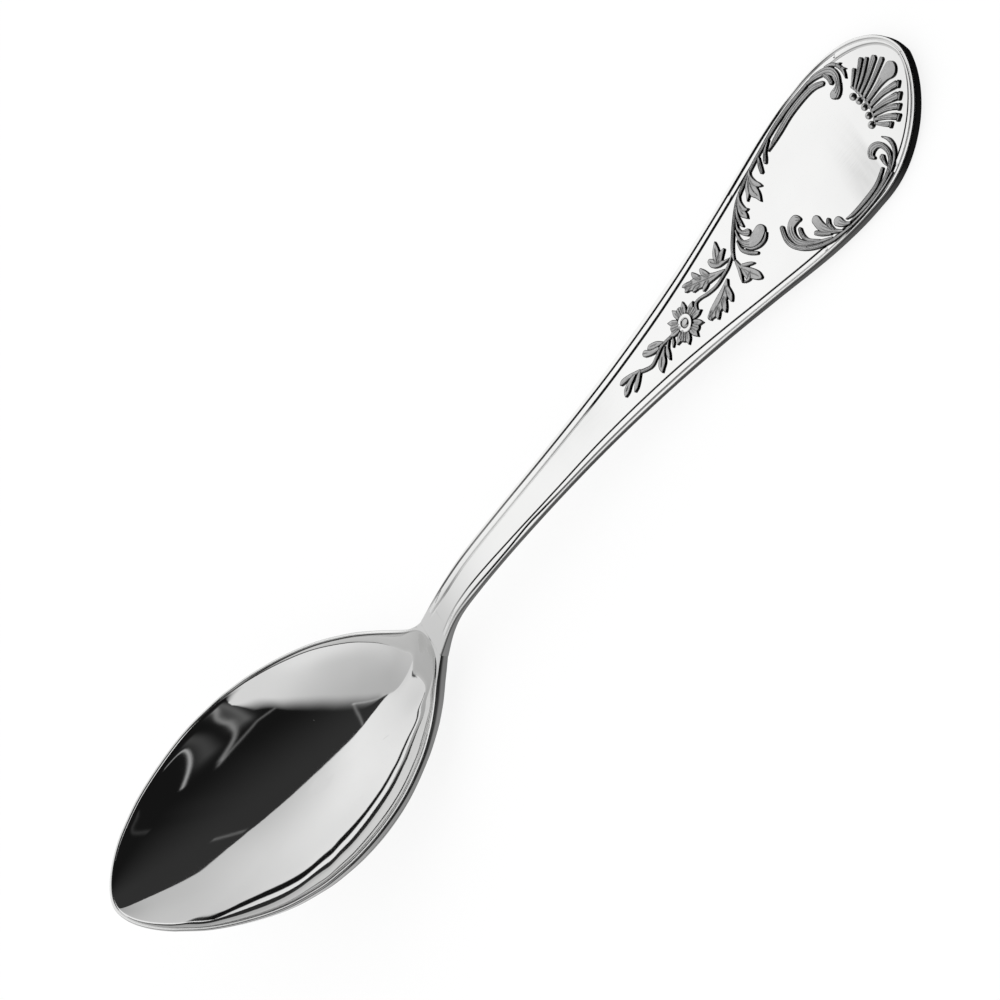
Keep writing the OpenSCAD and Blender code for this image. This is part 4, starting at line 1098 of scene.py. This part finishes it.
def build_relief(name, strokes, height, leaf):
    """A chased ornament: each stroke is a lobe with its own rounded shoulders, the lobes
    meet in creases, and lines are chased along them."""
    c = np.vstack(strokes)
    x0, x1 = along((c[:, 0] - c[:, 2]).min()) - MARGIN, along((c[:, 0] + c[:, 2]).max()) + MARGIN
    y0 = (c[:, 1] - c[:, 2]).min() * MOTIF - MARGIN
    y1 = (c[:, 1] + c[:, 2]).max() * MOTIF + MARGIN
    X, Y = np.meshgrid(np.arange(x0, x1, CELL), np.arange(y0, y1, CELL), indexing="ij")
    F = np.max([stroke_field(stroke, X, Y)[0] for stroke in strokes], 0)
    # Move the grid's points that lie beside the outline onto it
    gx, gy = np.gradient(F, CELL)
    g = np.hypot(gx, gy) + 1e-9
    move = np.where(np.abs(F) < SNAP * CELL, 1.0, 0.0)
    X = X - move * F * gx / g**2
    Y = Y - move * F * gy / g**2
    inside = (F > 0) | (move > 0)
    tops, lines = np.array([lobe(stroke_field(stroke, X, Y), leaf)
        for stroke in strokes]).swapaxes(0, 1)
    best = tops.max(0)
    line = np.take_along_axis(lines, tops.argmax(0)[None], 0)[0]
    second = np.sort(tops, 0)[-2] if len(strokes) > 1 else np.zeros(best.shape)
    crease = np.where(second > 0, unit(1 - (best - second) / CREASE_W), 0)
    crease = crease * unit(1 - (best - WALL_SHARE) / (1 - WALL_SHARE) * CREASE_FADE)
    top = height * best - LINE_CUT * line - CREASE_DEPTH * crease
    # Patina and painted shade in the lines and creases, and painted shade in the outline
    outline = unit(OUTLINE_HARD * (1 - F / outline_width(name, X, Y)))
    patina_and_painted_shade = unit(np.maximum(LINE_BLACK * line, np.maximum(crease, outline)))
    # Top and bottom from the cells that are inside, and a wall of two rows round them
    i, j = np.nonzero(inside[:-1, :-1] & inside[1:, :-1] & inside[:-1, 1:] & inside[1:, 1:])
    corners = [(i, j), (i + 1, j), (i + 1, j + 1), (i, j + 1)]
    used = np.zeros(X.shape, bool)
    for corner in corners:
        used[corner] = True
    n = used.sum()
    number = np.zeros(X.shape, int)
    number[used] = np.arange(n)
    quads = np.stack([number[corner] for corner in corners], 1).tolist()
    edges = open_edges(quads)
    seat = face_height(X[used])
    upper = np.c_[X[used], Y[used], seat + top[used]]
    lower = np.c_[X[used], Y[used], seat - SEAT]
    rim = sorted({v for edge in edges for v in edge})
    middle_of = {v: 2 * n + k for k, v in enumerate(rim)}
    points = np.vstack([upper, lower, (upper[rim] + lower[rim]) / 2])
    faces = quads + [[v + n for v in quad[::-1]] for quad in quads]
    for a, b in edges:
        faces.append([b, a, middle_of[a], middle_of[b]])
        faces.append([middle_of[b], middle_of[a], a + n, b + n])
    # Painted shade: black underneath and near black on the walls
    shade_and_patina = np.concatenate([patina_and_painted_shade[used], np.ones(n), np.full(len(rim), WALL_BLACK)])
    piece = make_piece(name + "_chased", points, faces, OXIDISED, sharp=55,
        shade_and_patina=shade_and_patina)
    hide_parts(name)


for name, strokes in STROKES.items():
    build_relief(name, strokes, SCROLL_H if name in STEMS else LEAF_H, name in LEAVES)


# Pearls, as [along, across, share of the radius], and the blossom's eye in its ring

PEARL_R = 0.64
PEARLS = [[19.23, 0.335, 1], [19.275, 0.185, 0.95], [19.285, 0.025, 0.95],
    [19.255, -0.145, 0.97], [19.2, -0.305, 1.02]]
PEARL_NECK = 0.96
PEARL_BASE = 0.06
EYE_R = 0.74
EYE_BASE = 0.28
EYE_TOP = 0.46
# The eye's ring is painted black as shade at its outer and inner feet
EYE_RING = [[1.62, -0.05, 1], [1.58, 0.34, 1], [1.51, 0.4, 0.1], [1.42, 0.42, 0], [1.05, 0.42, 0],
    [0.95, 0.41, 0], [0.87, 0.38, 0.1], [0.82, 0.3, 1], [0.77, 0.26, 1]]
# A bead's foot in the face, its painted grey, up to what share of its height it is painted black
# as shade, and the points of its profile and round it
BEAD_FOOT = -0.05
BEAD_TOP_SHADE = 0.38
BEAD_SHADE_TO = 0.55
BEAD_ROWS = 13
BEAD_AROUND = 48


def build_turned(name, place, profile):
    """A bead or ring set on the face: [radius, height, how much painted shade] from its foot to
    its top.
    """
    x0, y0 = along(place[0]), place[1] * MOTIF
    seat = float(face_height(x0))
    around = BEAD_AROUND
    a = np.arange(around) * 2 * math.pi / around
    rows = [np.stack([x0 + r * np.cos(a), y0 + r * np.sin(a), np.full(around, seat + z)], -1)
        for r, z, _ in profile[:-1]]
    flat = np.vstack(rows + [np.array([[x0, y0, seat + profile[-1][1]]])])
    shade_and_patina = np.append(np.repeat([row[2] for row in profile[:-1]], around), profile[-1][2])
    rings = len(profile) - 1
    faces = grid_faces(rings, around, closed_cols=True).tolist()
    faces += [[(rings - 1) * around + k, (rings - 1) * around + (k + 1) % around, rings * around]
        for k in range(around)]
    faces.append(list(range(around - 1, -1, -1)))
    piece = make_piece(name + "_polished", flat, faces, SILVER, sharp=60,
        shade_and_patina=shade_and_patina)
    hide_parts(name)


def dome(r, base, top):
    """Profile of a round bead with painted shade: black below and grey above."""
    rows = []
    for f in np.linspace(0, math.pi / 2, BEAD_ROWS):
        black = 1 - fade(math.sin(f), 0, BEAD_SHADE_TO)
        rows.append([r * math.cos(f), base + (top - base) * math.sin(f),
            BEAD_TOP_SHADE + (1 - BEAD_TOP_SHADE) * black])
    return rows


for k, (u, v, share) in enumerate(PEARLS):
    r = PEARL_R * share
    build_turned("pearl_%d" % (k + 1), [u, v],
        [[PEARL_NECK * r, BEAD_FOOT, 1]] + dome(r, PEARL_BASE, r))
build_turned("blossom_eye", BLOSSOM_AT, EYE_RING + dome(EYE_R, EYE_BASE, EYE_TOP))


# Camera, at the photograph's place in millimetres

CAMERA_AT = np.array([378.285, -440.0, 574.602])
CAMERA_RIGHT = (0.53693828, -0.44761094, -0.71508162)
CAMERA_UP = (0.70109422, 0.70820663, 0.08312797)
CAMERA_BACK = (0.46921656, -0.54597418, 0.6940807)
CAMERA_LENS = 175.45
SENSOR = 36.0


def add_camera():
    data = bpy.data.cameras.new("camera")
    data.lens = CAMERA_LENS
    data.sensor_fit = "HORIZONTAL"
    data.sensor_width = SENSOR
    data.clip_start = 0.01
    camera = link_object("camera", data)
    turn = Matrix((CAMERA_RIGHT, CAMERA_UP, CAMERA_BACK)).transposed()
    camera.matrix_world = Matrix.Translation(CAMERA_AT * MM) @ turn.to_4x4()
    bpy.context.scene.camera = camera


# Studio: a white room, a pale floor, and flags that only the metal sees

STUDIO_R = 3.0
STUDIO_MIDDLE = np.array([-0.06, 0.0, 0.01])
# Rows of the room's dome: their step, the lowest and the topmost, in degrees
DOME_STEP = 0.5
DOME_LOW = -2.0
DOME_TOP = 89.95


def flag_material(name):
    """A flag that is black at 0 and white at 1, by the brightness painted on its mesh."""
    material, tree = new_material(name)
    glow = add_node(tree, "Emission", Color=attribute(tree, "brightness").outputs["Color"])
    add_node(tree, "OutputMaterial", Surface=glow.outputs["Emission"])
    return material


def only_glossy(card):
    for ray in ("camera", "diffuse", "shadow", "transmission", "volume_scatter"):
        setattr(card, "visible_" + ray, False)


# The studio is drawn on a flat chart of directions whose middle is straight up: [x, y] is the
# angle from straight up, in degrees, towards the handle's end and towards the spoon's left.

def inside_shape(places, corners):
    """Signed distance of chart places from a closed shape, positive inside it."""
    c = np.array(corners, float)
    near = np.full(places.shape[:-1], 1e9)
    winding = np.zeros(places.shape[:-1], bool)
    for p, q in zip(c, np.roll(c, -1, 0)):
        near = np.minimum(near, off_segment(places, p, q))
        crosses = (p[1] > places[..., 1]) != (q[1] > places[..., 1])
        level = p[0] + (places[..., 1] - p[1]) * (q[0] - p[0]) / ((q[1] - p[1]) or 1e-9)
        winding ^= crosses & (places[..., 0] < level)
    return np.where(winding, near, -near)


def cover(places, corners, soft):
    """How far a closed shape with a soft edge covers the chart's places."""
    return step(inside_shape(places, corners) / soft + 0.5)


def off_segment(places, p, q):
    d = q - p
    off = places - p
    t = unit((off @ d) / (d @ d))
    return np.linalg.norm(off - t[..., None] * d, axis=-1)


def along_line(places, points, width):
    """A soft stroke through the points: 1 on it, and fading over the width."""
    c = through(points, 6)
    near = np.min([off_segment(places, p, q) for p, q in zip(c[:-1], c[1:])], 0)
    return np.exp(-(near / width) ** 2)


# Black flag overhead and on the right, and the grey wall behind the bowl's tip
DARK_FLAG = [[-29, 22.3], [-22, 20.8], [-15, 20.3], [-9, 21.2], [0, 23.2], [10, 25.3],
    [20, 28.2], [25, 30], [28.5, 33.5], [31, 38], [33, 41.8], [36, 43.7], [40, 44.5],
    [45, 46.5], [50, 49], [60, 54], [75, 62], [95, 66], [98, 0], [92, -60], [45, -95],
    [0, -95], [-18, -80], [-12, -72], [-3, -65], [4, -58], [7, -50], [6, -40], [3.5, -30],
    [0, -20], [-5, -10], [-10.5, 0], [-16, 8], [-22, 15]]
GREY_WALL = [[-29, 22.5], [-33, 24], [-38, 26.5], [-44, 28.8], [-50, 29.4], [-60, 29.5],
    [-95, 25], [-90, -60], [-40, -95], [0, -95], [15, -60], [12, -30], [0, 0], [-8, 15]]
# Low black strip on the left, which the bowl's right wall shows as a thin dark curve
LOW_STRIP = [[-55, 40], [-50, 43.5], [-44, 47.2], [-38, 51], [-32, 55], [-26, 58.8],
    [-20, 62], [-14, 65], [-8, 67], [-4, 69.5], [0, 72.3], [5, 74.2], [10, 76], [14, 78],
    [17.3, 81], [17.5, 85], [16, 89], [15, 94], [10, 94], [12.3, 88], [11, 84.5], [8, 81.5],
    [4, 80], [0, 79], [-3, 77], [-6, 74.5], [-12, 70.5], [-18, 67], [-25, 62.8],
    [-31, 58.8], [-37, 54.8], [-43, 50.5], [-49, 46.2], [-55, 42]]
# Light of the white room and of the grey wall: [x, y, how bright the bowl looks there]
ROOM_TONES = [[-50, 35, 0.75], [-35, 42, 0.85], [-20, 35, 0.87], [-5, 35, 0.93],
    [12, 45, 0.93], [-25, 52, 0.91], [0, 62, 0.85], [22, 62, 0.82], [16, 31, 0.7],
    [30, 45, 0.74], [40, 58, 0.62], [35, 75, 0.71], [-5, 85, 0.92], [-45, 60, 0.88],
    [20, 85, 0.76], [-90, 60, 0.9], [90, 90, 0.7]]
WALL_TONES = [[-60, 10, 0.69], [-40, 15, 0.68], [-25, 5, 0.68], [-50, -10, 0.76],
    [-25, -15, 0.75], [-50, -35, 0.8], [-15, -40, 0.83], [-20, -60, 0.83]]
TONE_REACH = 11.0
# Soft grey streak of the room that the bare field shows: width, depth and course
STREAK = (0.45, 0.22, [[-19.0, 35.2], [-17.0, 34.8]])
# Thin light lines and soft glows in the black flag: width, brightness and course
GLOWS = [(1.0, 0.2, [[29, -14], [20, -22], [17.5, -31], [17, -41], [15, -51], [9, -67]]),
    (4.0, 0.11, [[14, -28], [12, -40], [10, -52], [7, -66]]),
    (0.7, 0.12, [[4, -21], [12, -20.5], [20, -17], [30, -12.5]]),
    (0.7, 0.4, [[39, -18], [36.5, -25], [35.3, -35], [35.3, -44], [37, -49], [42, -53]]),
    (4.0, 0.05, [[31, -24], [30, -38], [31, -52]]),
    (0.45, 0.12, [[26, 28], [33, 21]]),
    (0.6, 0.28, [[-27, 20], [-20, 13], [-13, 6]]),
    (0.5, 0.16, [[-10, 20], [-11, 13], [-13, 6]]),
    (0.7, 0.03, [[50, -12], [56, -25], [59, -38]])]
# The tones are as the picture shows them, after its gamma and the silver's own share of light
GAMMA = 2.2
SILVER_SHARE = 0.79
# Softness of the edges, in degrees, and how dark the strip and the flag are
WALL_SOFT = 0.8
STRIP_SOFT = 0.9
STRIP_BLACK = 0.008
FLAG_BLACK = 0.009
FLAG_LIFT = 0.026
FLAG_LIFT_FADE = [-15.0, 35.0]
# The flag's edge is soft towards the grey wall, left of a bent line, and crisp elsewhere
FLAG_CRISP = 0.6
FLAG_SOFT = 9.5
SOFT_AT = [4.0, -30.0]
SOFT_BEND = 0.25
SOFT_REACH = 8.0
SOFT_TOP = 19.0


def soft_tones(places, anchors):
    """Brightness that runs smoothly between the anchors' tones."""
    total, weight = 0.0, 1e-9
    for x, y, tone in anchors:
        near = np.exp(-0.5 * ((places - [x, y]) ** 2).sum(-1) / TONE_REACH**2) + 1e-7
        total, weight = total + near * tone, weight + near
    return (total / weight) ** GAMMA / SILVER_SHARE


def brightness(places):
    """Brightness of the studio in a direction of the chart."""
    x, y = places[..., 0], places[..., 1]
    wall = cover(places, GREY_WALL, WALL_SOFT)
    value = soft_tones(places, ROOM_TONES) * (1 - wall) + soft_tones(places, WALL_TONES) * wall
    streak_w, streak_grey, streak = STREAK
    value = value * (1 - streak_grey * along_line(places, streak, streak_w))
    strip = cover(places, LOW_STRIP, STRIP_SOFT)
    value = value * (1 - strip) + STRIP_BLACK * strip
    beside = (SOFT_AT[0] - x - SOFT_BEND * np.abs(y - SOFT_AT[1])) / SOFT_REACH + 1
    soft = FLAG_CRISP + FLAG_SOFT * step(beside) * step((SOFT_TOP - y) / SOFT_REACH)
    flag = cover(places, DARK_FLAG, soft)
    deep = FLAG_BLACK + FLAG_LIFT * fade(y, *FLAG_LIFT_FADE)
    for width, bright, points in GLOWS:
        deep = deep + bright * along_line(places, points, width)
    return value * (1 - flag) + deep * flag


def add_card(name, points, faces, value):
    """A card or wall that only the metal sees, painted with its brightness."""
    mesh = new_mesh(name, points, faces, flag_material(name))
    layer = mesh.attributes.new("brightness", "FLOAT_COLOR", "POINT")
    paint = np.stack([value, value, value, np.ones(value.shape)], 1)
    layer.data.foreach_set("color", paint.ravel().astype(np.float32))
    only_glossy(link_object(name, mesh))


def add_studio():
    az = np.radians(np.arange(-180, 180, DOME_STEP))
    el = np.radians(np.append(np.arange(DOME_LOW, 90 - DOME_STEP / 2, DOME_STEP), DOME_TOP))
    A, E = np.meshgrid(az, el, indexing="ij")
    points = np.stack([np.cos(E) * np.cos(A), np.cos(E) * np.sin(A), np.sin(E)], -1)
    flat = points.reshape(-1, 3) * STUDIO_R + STUDIO_MIDDLE
    reach = 90 - np.degrees(E)
    value = brightness(np.stack([reach * np.cos(A), reach * np.sin(A)], -1)).ravel()
    add_card("studio_dome", flat, grid_faces(*A.shape, closed_rows=True), value)


# Dark cloth on the table along the spoon's right side and round its end, under the sight of
# everything but the metal: its brightness along the spoon, and how far back it runs
CLOTH_SHADES = [[0.0, 0.85], [18.0, 0.6], [35.0, 0.38], [60.0, 0.25], [80.0, 0.16],
    [110.0, 0.08], [150.0, 0.08], [170.0, 0.1], [184.0, 0.08], [192.0, 0.01],
    [OVERALL_LEN, 0.004]]
CLOTH_W = 45.0
CLOTH_UNDER = 0.05
CLOTH_Z = 0.15
CLOTH_ROWS_STEP = 8
CLOTH_BACK_X = 175.0


def add_cloth():
    right = SIDE[::CLOTH_ROWS_STEP]
    left = right[::-1][1:] * [1, -1]
    rows = np.vstack([right, left[left[:, 0] > CLOTH_BACK_X]])
    lean = -turned(along_path(rows))
    points = np.stack([rows + lean * s * CLOTH_W for s in (-CLOTH_UNDER, 1.0)], 1)
    flat = to_frame(np.dstack([points, np.full(points.shape[:2], CLOTH_Z - LIFT)]).reshape(-1, 3))
    value = np.repeat(straight(np.array(CLOTH_SHADES), rows[:, 0]), 2)
    add_card("cloth", flat, grid_faces(len(rows), 2), value)


# White floor: it shows itself as white to the camera and to the metal, but keeps a share of
# the spoon's shadow, and lights the spoon only as white paint would
FLOOR_HALF = 2.9
FLOOR_PAINT = (0.92, 0.92, 0.92, 1)
FLOOR_GLOW = 1.03
FLOOR_GLOW_SHARE = 0.8


def add_floor():
    mesh = bpy.data.meshes.new("floor")
    mesh.from_pydata([(x * FLOOR_HALF, y * FLOOR_HALF, 0) for x, y in
        ((-1, -1), (1, -1), (1, 1), (-1, 1))], [], [(0, 1, 2, 3)])
    material, tree = new_material("floor_white")
    path = add_node(tree, "LightPath").outputs
    seen = maths(tree, "MAXIMUM", path["Is Camera Ray"], path["Is Glossy Ray"])
    seen = maths(tree, "MAXIMUM", seen, path["Is Transmission Ray"])
    paint = add_node(tree, "BsdfDiffuse", Color=FLOOR_PAINT)
    glow = add_node(tree, "Emission", Color=(1, 1, 1, 1), Strength=FLOOR_GLOW)
    mix = add_node(tree, "MixShader", Fac=maths(tree, "MULTIPLY", seen, FLOOR_GLOW_SHARE))
    tree.links.new(paint.outputs[0], mix.inputs[1])
    tree.links.new(glow.outputs[0], mix.inputs[2])
    add_node(tree, "OutputMaterial", Surface=mix.outputs[0])
    mesh.materials.append(material)
    link_object("floor", mesh)


def add_world():
    world = bpy.data.worlds.new("studio_white")
    world.use_nodes = True
    bpy.context.scene.world = world
    back = world.node_tree.nodes["Background"]
    back.inputs["Color"].default_value = (1, 1, 1, 1)
    back.inputs["Strength"].default_value = 1.0


add_camera()
add_studio()
add_cloth()
add_floor()
add_world()
bpy.context.scene.view_settings.view_transform = "Standard"
